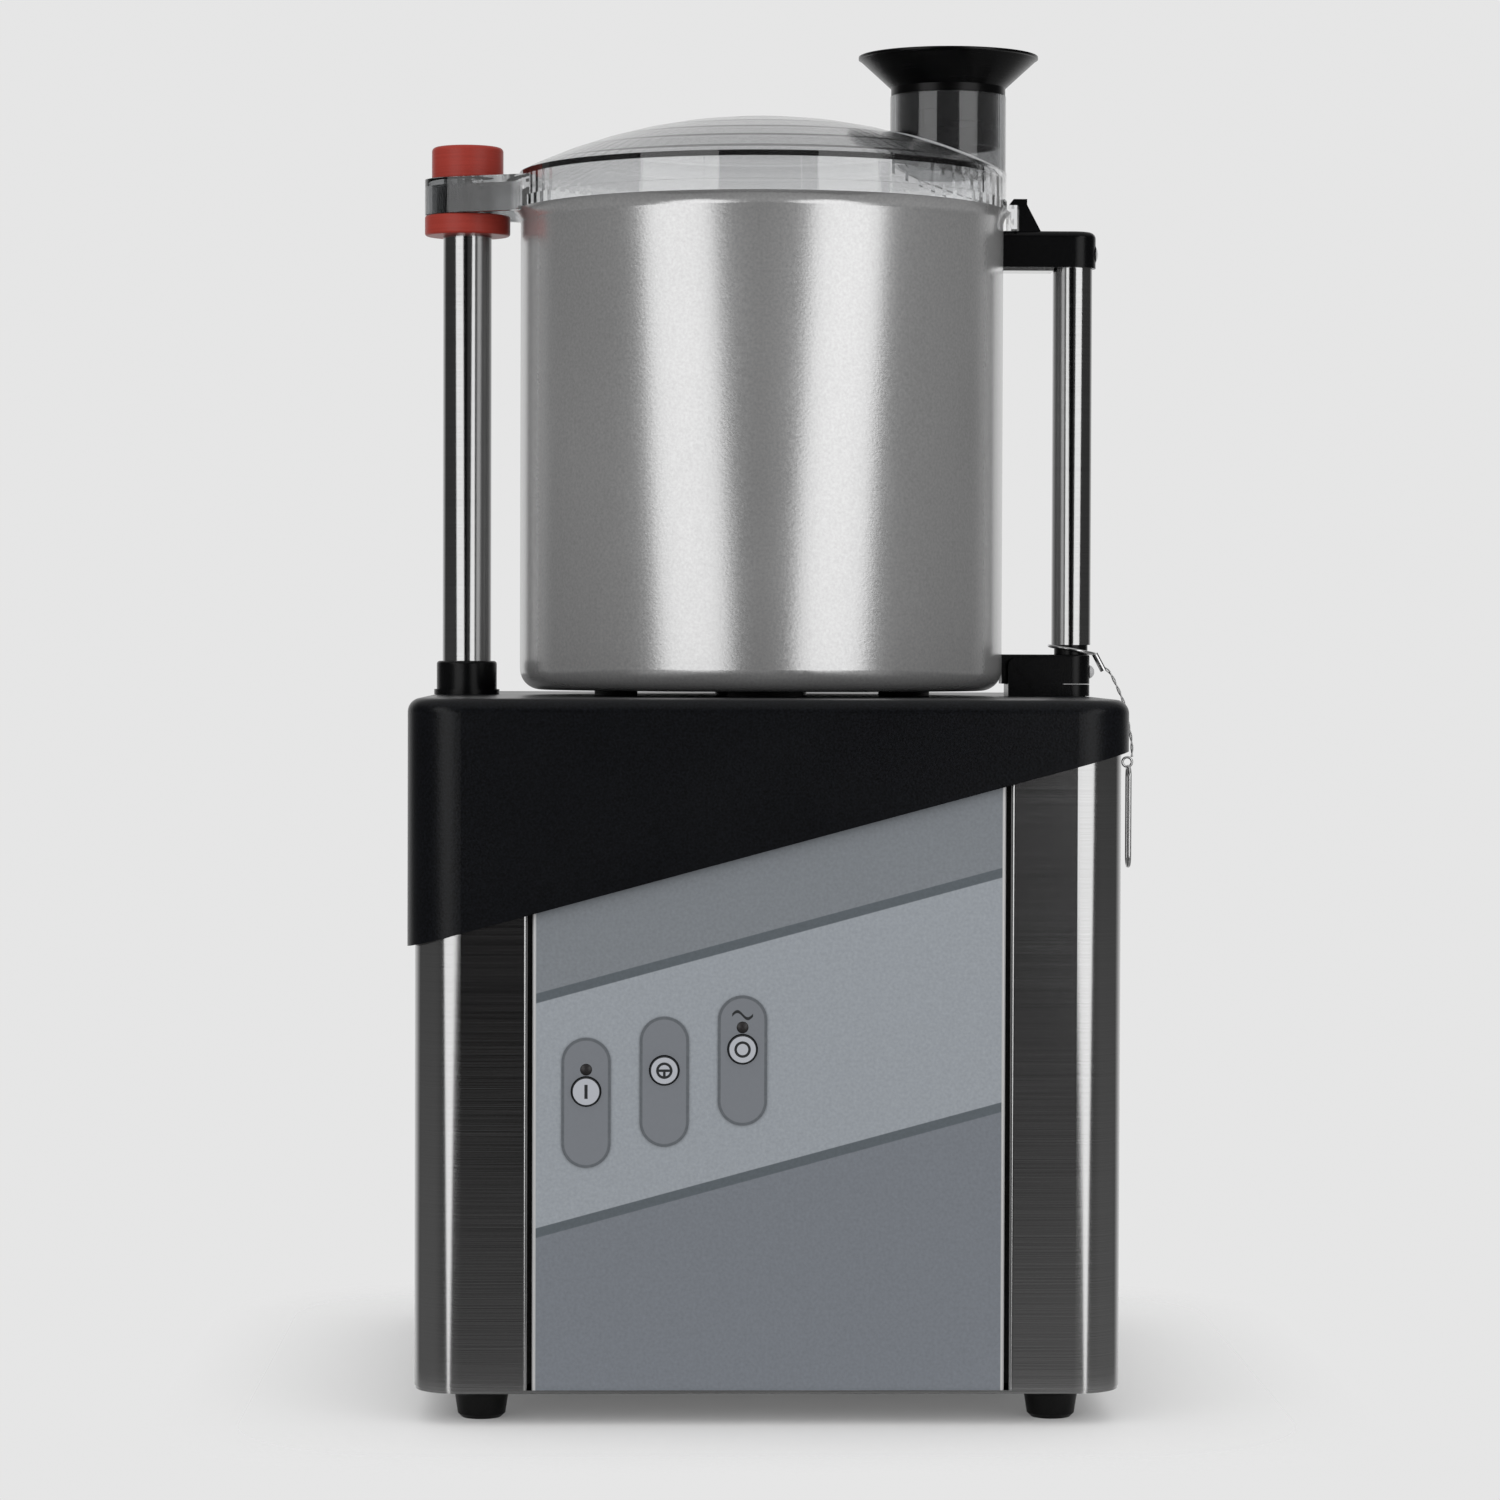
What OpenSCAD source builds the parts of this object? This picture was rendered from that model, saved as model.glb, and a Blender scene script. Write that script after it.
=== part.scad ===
// Vertical cutter mixer: a motor housing with a black cover, a lift-off steel bowl with its
// handle, a turning knife on the drive shaft, and a clear lid with a feed tube and funnel.
// Origin on the table under the bowl's axis, +Z up, the control panel towards -Y.

/* [Bowl] */
// Outer diameter of the bowl's wall
bowl_d = 184; // [150:1:225]
// Height of the bowl, underside to rim
bowl_h = 181.6; // [150:0.2:220]
// Sheet thickness of the bowl
bowl_wall = 1.2; // [1:0.1:1.6]
// Outer radius between the bowl's floor and wall
bowl_corner_r = 8; // [5:0.5:12]
// How far the lip flares outwards
lip_out = 2.5; // [1.5:0.1:3]
// Height of the flared lip
lip_h = 4.6; // [4:0.1:6]
// Outer diameter of the centre tube in the bowl
chimney_d = 38; // [36:0.5:46]
// Height of the centre tube above the bowl's underside
chimney_h = 66; // [56:1:80]

/* [Housing] */
// Height of the cover's deck above the table
deck_z = 257.2; // [214:0.2:310]
// Depth of the cover, front to back
cover_d = 280; // [260:1:336]
// Distance from the bowl's wall to the cover's side
side_margin = 36.5; // [36:0.5:44]
// Wall of the moulded cover
cover_wall = 2.5; // [2:0.1:3.2]
// Outer radius along the deck's edge
deck_edge_r = 5; // [3.5:0.5:6]
// Depth of the skirt below the deck, in the middle of the housing
skirt_drop = 53.3; // [48:0.1:60]
// Rise of the skirt's lower edge, per unit of width
skirt_slope = 0.272; // [0.1:0.002:0.3]
// Sheet thickness of the body
sheet_t = 1.2; // [0.8:0.1:1.5]
// Radius of the body's upright corners
corner_r = 17; // [12:0.5:22]
// Half width of the opening between the front flanges
front_open_hw = 85.2; // [80:0.1:90]
// Radius of the rolled edge on each front flange
hem_r = 1.5; // [1.3:0.1:1.8]
// Height of the rubber feet
foot_h = 11.4; // [9:0.2:14]
// Diameter of a foot at its top
foot_d = 20.4; // [18:0.2:24]

/* [Front panel] */
// Thickness of the front panel
panel_t = 1.5; // [1:0.1:1.8]
// Depth of the front panel behind the flanges' face
panel_recess = 0.8; // [0.6:0.1:1.2]
// Width of the gap beside the panel
panel_gap = 1.6; // [1.2:0.1:2]
// Width of a key well
well_w = 17.4; // [16:0.1:19]
// Height of a key well
well_h = 46.1; // [42:0.1:50]
// Distance between neighbouring wells
well_pitch = 27.6; // [24:0.1:30]
// Distance from the panel's left edge to the first well's centre
well_inset = 19; // [16:0.5:24]
// Depth of a well's centre below the skirt's edge
well_drop = 71.8; // [66:0.2:80]
// Diameter of a key
key_d = 10.2; // [9:0.1:12]
// How far a key travels when pressed
key_travel = 0.6; // [0.4:0.1:0.8]
// Height of a key above its well's centre
key_rise = 4; // [2:0.1:6]
// Height of a lamp above its key
lamp_rise = 7.7; // [7.4:0.1:10]
// Diameter of an indicator lamp
lamp_d = 3.9; // [3:0.1:4.5]

/* [Lid] */
// Thickness of the clear lid
lid_wall = 3; // [2.4:0.1:3.4]
// Height of the lid's side wall above the rim
lid_side_h = 14.5; // [13:0.1:17]
// Radius of the dome's outer surface
dome_r = 211; // [180:1:260]
// Outer diameter of the clear feed tube
feed_d = 44.2; // [40:0.2:48]
// Wall of the feed tube
feed_wall = 2.2; // [1.8:0.1:2.6]
// Height of the feed tube's mouth above the rim
feed_top = 44.8; // [42:0.1:52]
// Height of the arm that reaches to the post
arm_h = 13.4; // [12:0.1:13.5]
// Angle at which the arm widens towards the lid
arm_taper = 24; // [15:1:28]
// How far the arm hangs below the lid's rim
arm_drop = 1.5; // [0.5:0.1:3]
// How far the feed tube reaches below the inside of the dome
feed_skirt_h = 7.7; // [4:0.1:9]
// Height of the funnel above the feed tube
funnel_h = 15.2; // [12:0.1:20]
// Outer diameter of the funnel's rim
funnel_d = 68.4; // [60:0.2:76]
// How far the funnel's sleeve reaches into the feed tube
sleeve_h = 19.6; // [14:0.2:24]

/* [Handle] */
// Diameter of the grip tube
grip_d = 15; // [13:0.5:18]
// Wall of the grip tube
grip_wall = 1.5; // [1.2:0.1:2]
// Height of the upper bracket
bracket_h = 13.8; // [12:0.1:16]
// Height of the lower bracket
low_bracket_h = 11.2; // [10:0.1:13]
// Diameter of the neck that enters the grip from below
neck_d = 12.8; // [12.6:0.1:13]
// Height of the cradle's cheeks above the deck
cradle_h = 14.5; // [10:0.5:16]
// Thickness of each cheek of the cradle
cheek_t = 3; // [2:0.2:4]
// Thickness of the steel strap under the upper bracket
strap_t = 1.3; // [1:0.1:2]

/* [Post] */
// Diameter of the lid post
post_d = 18.5; // [16:0.5:22]
// Wall of the lid post
post_wall = 1.5; // [1.2:0.1:2]
// Diameter of the red collar at the top of the post
collar_d = 32.5; // [30:0.5:33]
// Height of the red collar
collar_h = 7.6; // [7:0.2:11]
// Diameter of the red cap on the lid's arm
cap_d = 27.2; // [25:0.2:30]
// Height of the red cap
cap_h = 12.4; // [9:0.1:15]

/* [Knife] */
// Wall of the knife's hub round the bowl's chimney
hub_wall = 3.4; // [3:0.1:6]
// Thickness of a blade
blade_t = 2.5; // [2:0.1:3]
// Gap between the blades' tips and the bowl's wall
tip_gap = 3; // [2:0.2:5]
// Height from the lower blade to the upper blade
blade_step = 20; // [14:1:24]
// Width of the ground bevel along a cutting edge
bevel_w = 7; // [4:0.5:9]
// Gap between the hub and the bowl's floor
hub_lift = 2.5; // [2:0.1:4]

/* [Drive] */
// Diameter of the drive shaft
shaft_d = 16; // [13:0.2:19.4]
// Width of the shaft across its two flats
flats_w = 12; // [10:0.2:12.8]
// Diameter of the motor's frame without its ribs
motor_d = 132; // [120:1:158]
// Length of the motor's frame
motor_h = 100; // [84:1:110]
// Diameter of the rotor
rotor_d = 69; // [60:1:80]
// Air gap between rotor and stator
air_gap = 0.5; // [0.4:0.1:0.8]
// Thickness of the motor's mounting plate
plate_t = 3; // [2:0.5:4]
// Depth of the mounting plate's upper face below the deck
plate_drop = 21.2; // [16:0.2:28]
// Number of blades on the cooling fan
fan_blades = 8; // [6:1:12]

/* [Mains entry] */
// Diameter of the hole for the mains cable
cable_hole_d = 8.4; // [7:0.2:10]
// Distance of the cable entry from the middle of the rear wall
entry_x = 70; // [50:1:90]
// Height of the cable entry above the table
entry_z = 45; // [36:1:60]

/* [Lanyard] */
// Diameter of the lanyard's doubled wire
wire_d = 1.2; // [1:0.1:1.4]
// Diameter of the crimp ferrule
ferrule_d = 2.4; // [2:0.1:3]
// Length of the spring clip
clip_h = 34; // [28:1:40]

/* [Fits] */
// Radial clearance of a shaft in its bearings
run_fit = 0.05; // [0.03:0.01:0.08]
// Clearance between curved parts that come apart
slide_fit = 0.35; // [0.3:0.05:0.4]
// Clearance between flat faces that slide past each other
flat_fit = 0.2; // [0.1:0.05:0.3]

/* [Hidden] */
$fn = 96;
over = 1;

// Bowl and housing outlines
bowl_r = bowl_d / 2;
cover_hw = bowl_r + side_margin;
cover_hd = cover_d / 2;
cover_fit = 0.2;
cover_r = corner_r + cover_wall + cover_fit;
shell_hw = cover_hw - cover_wall - cover_fit;
shell_hd = cover_hd - cover_wall - cover_fit;
shell_in_hw = shell_hw - sheet_t;
shell_in_hd = shell_hd - sheet_t;
floor_z = foot_h + sheet_t;
deck_under = deck_z - cover_wall;
function skirt_z(x) = deck_z - skirt_drop + skirt_slope * x;

// Tray: set in from the shell's face, with an upright flange inside the shell
tray_inset = 0.4;
tray_fit = 0.1;
tray_flange_h = 12;
tray_slots = 10;
foot_x = shell_hw - 23.8;
foot_y = shell_hd - 22.3;
foot_screw_r = 2.5;

// Rear vents: rows of upright slots with round ends
vent_w = 3;
vent_h = 30;
vent_pitch = 8;
vent_rows = [62, 104];
vent_count = 15;
hem_tail = 4;
hem_reach = hem_r + hem_tail + 1;
cable_neck = 16;

// Front panel, keys and lamps
panel_hw = front_open_hw - panel_gap;
panel_y = -shell_hd + panel_recess;
panel_back = panel_y + panel_t;
panel_return = 8;
panel_edge_r = 1;
well_t = 0.5;
well_y = panel_y - well_t;
key_r = key_d / 2;
key_proud = 0.9;
key_ear = 1.8;
key_ear_t = 1.2;
key_stem = 3.8;
switch_h = 3;
board_y = panel_back + key_stem + key_travel + 0.1 + switch_h;
function well_x(i) = -panel_hw + well_inset + i * well_pitch;
function well_z(i) = skirt_z(well_x(i)) - well_drop;
function key_z(i) = well_z(i) + key_rise;
lamp_keys = [0, 2];

// Bowl heights
pad_h = 2;
pad_r = 65;
pad_w = 3;
pad_angle = 24;
bowl_z = deck_z + pad_h;
bowl_floor = bowl_z + bowl_wall;
rim_z = bowl_z + bowl_h;
chimney_r = chimney_d / 2;
chimney_in_r = chimney_r - bowl_wall;
chimney_top = bowl_z + chimney_h;
lip_r = (lip_h * lip_h + lip_out * lip_out) / (2 * lip_out);

// Lid
lid_z = rim_z + flat_fit;
lid_r = bowl_r + 0.6;
lid_in_r = lid_r - lid_wall;
lid_top_z = lid_z + lid_side_h;
dome_z = lid_top_z - sqrt(dome_r * dome_r - lid_r * lid_r);
lid_flange_h = 4;
lid_flange_out = 0.8;
spigot_h = 7;
spigot_r = bowl_r - bowl_wall - 2 * slide_fit;
spigot_wall = 2.6;
seal_w = 1.6;
seal_h = 3;
feed_r = feed_d / 2;
feed_bore_r = feed_r - feed_wall;
feed_x = lid_r - feed_r + 0.4;
feed_z = rim_z + feed_top;
arm_z = lid_z - arm_drop;
arm_top = arm_z + arm_h;
arm_wall = 2.4;
arm_roof = 2.6;
tab_in_r = bowl_r + lip_out + 0.5;
tab_r = tab_in_r + 2.3;
tab_low = lid_z - 6.5;
tab_top = lid_z + 2.6;
tab_angle = 14;
feed_bead_w = 0.8;
feed_low = lid_z + 2;
apron_angle = 58;
apron_out = 0.5;

// Post
post_r = post_d / 2;
collar_r = collar_d / 2;
post_x = collar_r - cover_hw;
post_boss_h = 12.8;
collar_top = arm_z - flat_fit;
collar_z = collar_top - collar_h;
collar_cap_t = 3.2;
post_top = collar_top - collar_cap_t;
post_nut_h = 7;
post_nut_r = collar_r - cover_wall - cover_fit - sheet_t - 0.3;
eye_wall = 2.6;
magnet_h = 4;

// Handle
grip_r = grip_d / 2;
end_r = grip_r + 1.3;
screw_head_h = 0.9;
grip_x = cover_hw - end_r - screw_head_h;
bracket_top = tab_low - flat_fit;
bracket_z = bracket_top - bracket_h;
bracket_edge = 2.5;
socket_h = 10.8;
hook_w = 14;
hook_out = 3.1;
hook_foot = 8.3;
hook_nose = 3.3;
hook_t = 2.6;
cradle_floor_t = 4.5;
low_end_r = grip_r - 0.3;
low_z = deck_z + cradle_floor_t + flat_fit;
low_top = low_z + low_bracket_h;
neck_h = 3.7;
spigot_len = 15;
cradle_fit = 0.4;
cradle_x = bowl_r + 2;
cheek_len = 21;
cheek_r = 3;
cradle_hw = low_end_r + cradle_fit + cheek_t;
stud_r = 2.5;
stud_len = 14;
screw_r = 1.95;
screw_hole_r = screw_r + 0.1;
upper_screw_z = bracket_z + 5.5;
lower_screw_z = low_z + 4.6;

// Electrical parts
board_x = 14;
board_w = 64;
board_z = 36;
board_h = 116;
board_back = 20 - shell_hd;
cap_r = 20;
cap_len = 88;
cap_at = [34.6 - shell_in_hw, shell_hd - 60, floor_z + sheet_t];
gland_out = cover_hd - shell_hd - 0.3;
gland_in = 14;

// Motor, from the plate downwards
shaft_r = shaft_d / 2;
plate_top = deck_z - plate_drop;
plate_under = plate_top - plate_t;
plate_hd = 80;
plate_flange = 22;
motor_r = motor_d / 2;
rotor_r = rotor_d / 2;
frame_wall = 4;
rib_h = 4;
rib_count = 24;
shield_t = 6;
upper_shield_h = 20;
lower_shield_h = 16;
shield_wall = 5;
frame_top = plate_under - upper_shield_h;
frame_z = frame_top - motor_h;
lower_shield_z = frame_z - lower_shield_h;
upper_bearing_r = shaft_r + 12;
upper_bearing_h = 12;
lower_journal_r = shaft_r - 0.5;
lower_bearing_r = lower_journal_r + 10;
lower_bearing_h = 11;
ear_r = 6;
bolt_r = 2.5;
bolt_circle = motor_r + 7;
core_gap = 21;
core_h = motor_h - 2 * core_gap;
fan_h = 12;
fan_top = lower_shield_z - 5;
fan_z = fan_top - fan_h;
fan_r = motor_r - 6;
shaft_z = fan_z - 4;
seal_r = shaft_r + 4;
seal_t = 7;
boss_h = 28;
boss_r = chimney_in_r - slide_fit;
column_wall = 4;

// Knife
hub_z = bowl_floor + hub_lift;
hub_flange_h = 4;
hub_flange_out = 6;
hub_bore_r = chimney_r + 0.6;
hub_r = hub_bore_r + hub_wall;
hub_roof = 8;
hub_in_top = chimney_top + 3;
hub_top = hub_in_top + hub_roof;
socket_len = 26;
drive_fit = 0.15;
socket_r = shaft_r + 5;
shaft_top = hub_in_top - flat_fit;
lower_blade_z = hub_z + hub_flange_h;
upper_blade_z = lower_blade_z + blade_step;
tip_r = bowl_r - bowl_wall - tip_gap;
clamp_h = 9;
knob_r = 12;
knob_h = 20;

// Lanyard: it hangs beside the cover from the neck of the handle
loop_slack = 0.8;
loop_r = grip_r + wire_d / 2 + loop_slack;
loop_x = grip_x + 0.5;
loop_z = low_top + 1.8;
loop_tilt = 10;
lanyard_at = [loop_x, 0, loop_z];
wire_r = wire_d / 2;
ferrule_from = lanyard_at + [8.7, 0, -1.5];
ferrule_to = lanyard_at + [12.1, 0, -7.9];
wire_route = [
    [11.7, 0, -6.4], [14.7, 0, -8.9], [17.7, 0, -14.9], [20.2, 0, -20.9],
    [21.7, 0, -27.9], [23, 0, -34.9], [23.2, 0, -40.9]
];
wire_points = [for (step = wire_route) lanyard_at + step];
wire_steps = 3;
eye_at = lanyard_at + [21.4, 0, -42.9];
eye_r = 1.8;
eye_wire_r = 0.5;
clip_x = eye_at[0] + 0.5;
clip_r = 4;
clip_wire_r = 0.8;

// Helpers

module ring(outer, inner, h) {
    difference() {
        cylinder(r = outer, h = h);
        translate([0, 0, -over]) cylinder(r = inner, h = h + 2 * over);
    }
}

module rod_y(r, h) {
    rotate([-90, 0, 0]) cylinder(r = r, h = h);
}

module rod_x(r, h) {
    rotate([0, 90, 0]) cylinder(r = r, h = h);
}

module obround(w, h) {
    square([w, h - w], center = true);
    for (s = [-1, 1]) translate([0, s * (h - w) / 2]) circle(r = w / 2);
}

// Carries a section round a rectangle with round corners: x is measured outwards from the
// centre of the corner's arc, y is up
module around(hw, hd, r) {
    for (i = [0 : 3]) {
        a = i % 2 == 0 ? hw - r : hd - r;
        b = i % 2 == 0 ? hd - r : hw - r;
        rotate([0, 0, 90 * i]) translate([a, b, 0]) {
            rotate([90, 0, 0]) linear_extrude(2 * b) children();
            rotate_extrude(angle = 90) children();
        }
    }
}

// Half of a bar's section, with its upper edge rounded
module bar_half(r, h, edge) {
    square([r, h - edge]);
    square([r - edge, h]);
    translate([r - edge, h - edge]) circle(r = edge);
}

// A bar from x0 to a round end about x1
module round_bar(x0, x1, r, h, edge) {
    translate([x0, 0, 0]) rotate([90, 0, 90]) linear_extrude(x1 - x0) {
        bar_half(r, h, edge);
        mirror([1, 0]) bar_half(r, h, edge);
    }
    translate([x1, 0, 0]) rotate([0, 0, -90]) rotate_extrude(angle = 180) intersection() {
        bar_half(r, h, edge);
        square([r + over, h + over]);
    }
}

module dome_head(r, h) {
    ball_r = (r * r + h * h) / (2 * h);
    intersection() {
        translate([0, 0, h - ball_r]) sphere(r = ball_r);
        cylinder(r = r + over, h = h + over);
    }
}

module ring_sector(outer, inner, h, angle) {
    rotate([0, 0, -angle / 2]) rotate_extrude(angle = angle)
        translate([inner, 0]) square([outer - inner, h]);
}

// Housing

module bottom_tray() {
    color("silver") difference() {
        translate([0, 0, foot_h]) {
            around(shell_hw - tray_inset, shell_hd - tray_inset, corner_r - tray_inset) {
                square([corner_r - tray_inset, sheet_t]);
                translate([corner_r - 2 * sheet_t - tray_fit, 0])
                    square([sheet_t, sheet_t + tray_flange_h]);
            }
            translate([corner_r - shell_hw, corner_r - shell_hd, 0])
                cube([2 * (shell_hw - corner_r), 2 * (shell_hd - corner_r), sheet_t]);
        }
        translate([-front_open_hw - hem_reach, -shell_hd, floor_z])
            cube([2 * (front_open_hw + hem_reach), panel_return + 3, tray_flange_h + over]);
        for (i = [0 : tray_slots - 1]) rotate([0, 0, (i + 0.5) * 360 / tray_slots])
            translate([26, -3, foot_h - over]) cube([34, 6, sheet_t + 2 * over]);
        for (x = [-foot_x, foot_x], y = [-foot_y, foot_y]) translate([x, y, foot_h - over])
            cylinder(r = foot_screw_r + 0.1, h = sheet_t + 2 * over);
    }
}

module body_shell() {
    shell_h = deck_under - floor_z;
    color("silver") difference() {
        union() {
            translate([0, 0, floor_z]) difference() {
                around(shell_hw, shell_hd, corner_r)
                    translate([corner_r - sheet_t, 0]) square([sheet_t, shell_h]);
                translate([-front_open_hw - hem_r, -shell_hd - over, -over])
                    cube([2 * (front_open_hw + hem_r), 2 * corner_r, shell_h + 2 * over]);
            }
            for (s = [-1, 1]) translate([s * (front_open_hw + hem_r), hem_r - shell_hd, floor_z])
                mirror([s < 0 ? 1 : 0, 0, 0]) linear_extrude(shell_h) hem_section();
        }
        for (row = vent_rows, i = [0 : vent_count - 1])
            translate([(i - (vent_count - 1) / 2) * vent_pitch - 35, shell_in_hd - over, row])
                rotate([-90, 0, 0]) linear_extrude(sheet_t + 2 * over) obround(vent_w, vent_h);
        translate([entry_x - cable_neck / 2, shell_in_hd - over, entry_z - cable_neck / 2])
            cube([cable_neck, sheet_t + 2 * over, cable_neck]);
    }
}

// Half round hem that turns the flange's edge back inwards
module hem_section() {
    intersection() {
        circle(r = hem_r);
        translate([-hem_r, -hem_r]) square([hem_r, 2 * hem_r]);
    }
    translate([0, hem_r - sheet_t / 2]) square([hem_tail, sheet_t / 2]);
}

module front_panel() {
    top = deck_z - 22;
    color([0.55, 0.57, 0.6]) difference() {
        translate([0, 0, floor_z]) linear_extrude(top - floor_z) difference() {
            union() {
                translate([-panel_hw, panel_y + panel_edge_r])
                    square([2 * panel_hw, panel_return - panel_edge_r]);
                translate([-panel_hw + panel_edge_r, panel_y])
                    square([2 * (panel_hw - panel_edge_r), panel_edge_r]);
                for (s = [-1, 1]) translate([s * (panel_hw - panel_edge_r), panel_y + panel_edge_r])
                    circle(r = panel_edge_r);
            }
            translate([panel_t - panel_hw, panel_back])
                square([2 * (panel_hw - panel_t), panel_return]);
        }
        front_holes(panel_y - over, panel_t + 2 * over);
    }
}

// Holes for the keys and lamps
module front_holes(y, depth) {
    for (i = [0 : 2]) translate([well_x(i), y, key_z(i)]) rod_y(key_r + slide_fit, depth);
    for (i = lamp_keys) translate([well_x(i), y, key_z(i) + lamp_rise])
        rod_y(lamp_d / 2 + 0.15, depth);
}

module key_wells() {
    color([0.42, 0.44, 0.47]) difference() {
        for (i = [0 : 2]) translate([well_x(i), panel_y, well_z(i)])
            rotate([90, 0, 0]) linear_extrude(well_t) obround(well_w, well_h);
        front_holes(well_y - over, well_t + 2 * over);
    }
}

module control_key(i) {
    color([0.86, 0.86, 0.84]) translate([well_x(i), 0, key_z(i)]) {
        translate([0, well_y - key_proud, 0]) {
            rotate([-90, 0, 0]) cylinder(r1 = key_r - 0.4, r2 = key_r, h = 0.4);
            translate([0, 0.4, 0]) rod_y(key_r, key_proud - 0.4 + well_t + panel_t + flat_fit);
        }
        translate([-key_r - key_ear, panel_back + flat_fit, -key_ear])
            cube([2 * (key_r + key_ear), key_ear_t, 2 * key_ear]);
        translate([0, panel_back + flat_fit, 0]) rod_y(2, key_stem - flat_fit);
    }
}

module start_key() {
    control_key(0);
}

module pulse_key() {
    control_key(1);
}

module stop_key() {
    control_key(2);
}

module indicator_lamps() {
    color([0.25, 0.2, 0.2]) for (i = lamp_keys) translate([well_x(i), 0, key_z(i) + lamp_rise]) {
        translate([0, well_y + 0.1, 0]) rod_y(lamp_d / 2, board_y - well_y - 0.1);
        translate([0, well_y + 0.1, 0]) rotate([90, 0, 0]) dome_head(lamp_d / 2, 0.5);
        translate([0, board_y - 1.5, 0]) rod_y(lamp_d / 2 + 0.4, 1.5);
    }
}

module keypad_board() {
    color([0.1, 0.35, 0.2]) {
        translate([well_x(1), board_y, key_z(1) + 3])
            rotate([0, -atan(skirt_slope), 0]) {
            translate([-42, 0, -16]) cube([84, 1.6, 32]);
            for (x = [-38, 38], z = [-12.5, 12.5]) translate([x, panel_back - board_y, z])
                rod_y(2, board_y - panel_back);
        }
        for (i = [0 : 2]) translate([well_x(i), board_y, key_z(i)]) {
            translate([-3, 1 - switch_h, -3]) cube([6, switch_h, 6]);
            translate([0, -switch_h, 0]) rod_y(1.75, switch_h);
        }
    }
}

// Power board with its relay, transformer and smoothing capacitors, facing the motor
module control_board() {
    color([0.1, 0.35, 0.2]) translate([board_x, board_back + sheet_t, board_z]) {
        translate([0, 5, 0]) cube([board_w, 1.6, board_h]);
        for (x = [5, board_w - 5], z = [5, board_h - 5]) translate([x, 0, z]) rod_y(2.4, 6);
        translate([8, 6, 70]) cube([32, 22, 36]);
        translate([46, 6, 76]) cube([12, 16, 28]);
        translate([8, 6, 34]) cube([20, 15, 28]);
        for (x = [36, 50]) translate([x, 6, 52]) rod_y(5, 18);
        translate([8, 6, 10]) cube([46, 12, 12]);
    }
}

module board_bracket() {
    color("silver") difference() {
        translate([board_x - 4, board_back, floor_z]) {
            cube([board_w + 8, sheet_t, board_z - floor_z + board_h + 4]);
            cube([board_w + 8, 18, sheet_t]);
            for (x = [0, board_w + 8 - sheet_t]) translate([x, 0, 0]) cube([sheet_t, 10, 60]);
        }
        translate([board_x + 14, board_back - over, board_z + 20])
            cube([board_w - 28, sheet_t + 2 * over, board_h - 40]);
    }
}

// Run capacitor, standing in a cup on the tray
module capacitor() {
    color([0.75, 0.75, 0.72]) translate(cap_at) {
        cylinder(r = cap_r, h = cap_len);
        translate([0, 0, cap_len]) cylinder(r = cap_r - 2, h = 2);
        for (x = [-6, 6]) translate([x - 3, -0.5, cap_len + 2]) cube([6, 1, 9]);
    }
}

module capacitor_clamp() {
    color("silver") translate([cap_at.x, cap_at.y, floor_z]) {
        difference() {
            cylinder(r = cap_r + run_fit + sheet_t, h = 20);
            translate([0, 0, sheet_t]) cylinder(r = cap_r + run_fit, h = 20);
            translate([cap_r - 6, -2, sheet_t]) cube([12, 4, 20]);
        }
        for (s = [-1, 1]) translate([-6, s > 0 ? cap_r : -cap_r - 10, 0]) cube([12, 10, sheet_t]);
    }
}

// Entry for the mains cable: a flange outside, a square neck and a nut inside
module cable_gland() {
    color([0.1, 0.1, 0.1]) translate([entry_x, 0, entry_z]) difference() {
        union() {
            translate([0, shell_hd, 0])
                rotate([-90, 0, 0]) cylinder(r1 = 12, r2 = 10.8, h = gland_out);
            translate([0.1 - cable_neck / 2, shell_in_hd, 0.1 - cable_neck / 2])
                cube([cable_neck - 0.2, sheet_t, cable_neck - 0.2]);
            translate([0, shell_in_hd - 5, 0]) rotate([-90, 0, 0]) cylinder(r = 13, h = 5, $fn = 6);
            translate([0, shell_in_hd - gland_in, 0]) rod_y(8, gland_in);
        }
        translate([0, shell_in_hd - gland_in - over, 0])
            rod_y(cable_hole_d / 2, gland_in + sheet_t + gland_out + 2 * over);
    }
}

module cover_section() {
    h = deck_z - skirt_z(-cover_hw) + over;
    difference() {
        bar_half(cover_r, h, deck_edge_r);
        translate([-over, -over]) square([cover_r - cover_wall + over, h - cover_wall + over]);
    }
}

module top_cover() {
    low = skirt_z(-cover_hw) - over;
    color([0.1, 0.1, 0.11]) difference() {
        union() {
            translate([0, 0, low]) around(cover_hw, cover_hd, cover_r) cover_section();
            translate([cover_r - cover_hw, cover_r - cover_hd, deck_under])
                cube([2 * (cover_hw - cover_r), 2 * (cover_hd - cover_r), cover_wall]);
            translate([0, 0, deck_under]) cylinder(r = boss_r, h = cover_wall + boss_h);
            translate([0, 0, plate_top]) cylinder(r = boss_r + 6, h = deck_under - plate_top);
        }
        translate([0, cover_hd + over, 0]) rotate([90, 0, 0]) linear_extrude(cover_d + 2 * over)
            polygon([
                [-cover_hw - over, low - over], [cover_hw + over, low - over],
                [cover_hw + over, skirt_z(cover_hw + over)],
                [-cover_hw - over, skirt_z(-cover_hw - over)]
            ]);
        translate([0, 0, deck_z + boss_h - seal_t]) cylinder(r = seal_r, h = seal_t + over);
        translate([0, 0, plate_top - over])
            cylinder(r = shaft_r + 2, h = deck_z - plate_top + boss_h);
        translate([0, 0, plate_top - over])
            cylinder(r = boss_r + 6 - column_wall, h = deck_under - plate_top + over);
        translate([post_x, 0, deck_under - over])
            cylinder(r = post_r + 0.1, h = cover_wall + 2 * over);
    }
}

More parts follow.
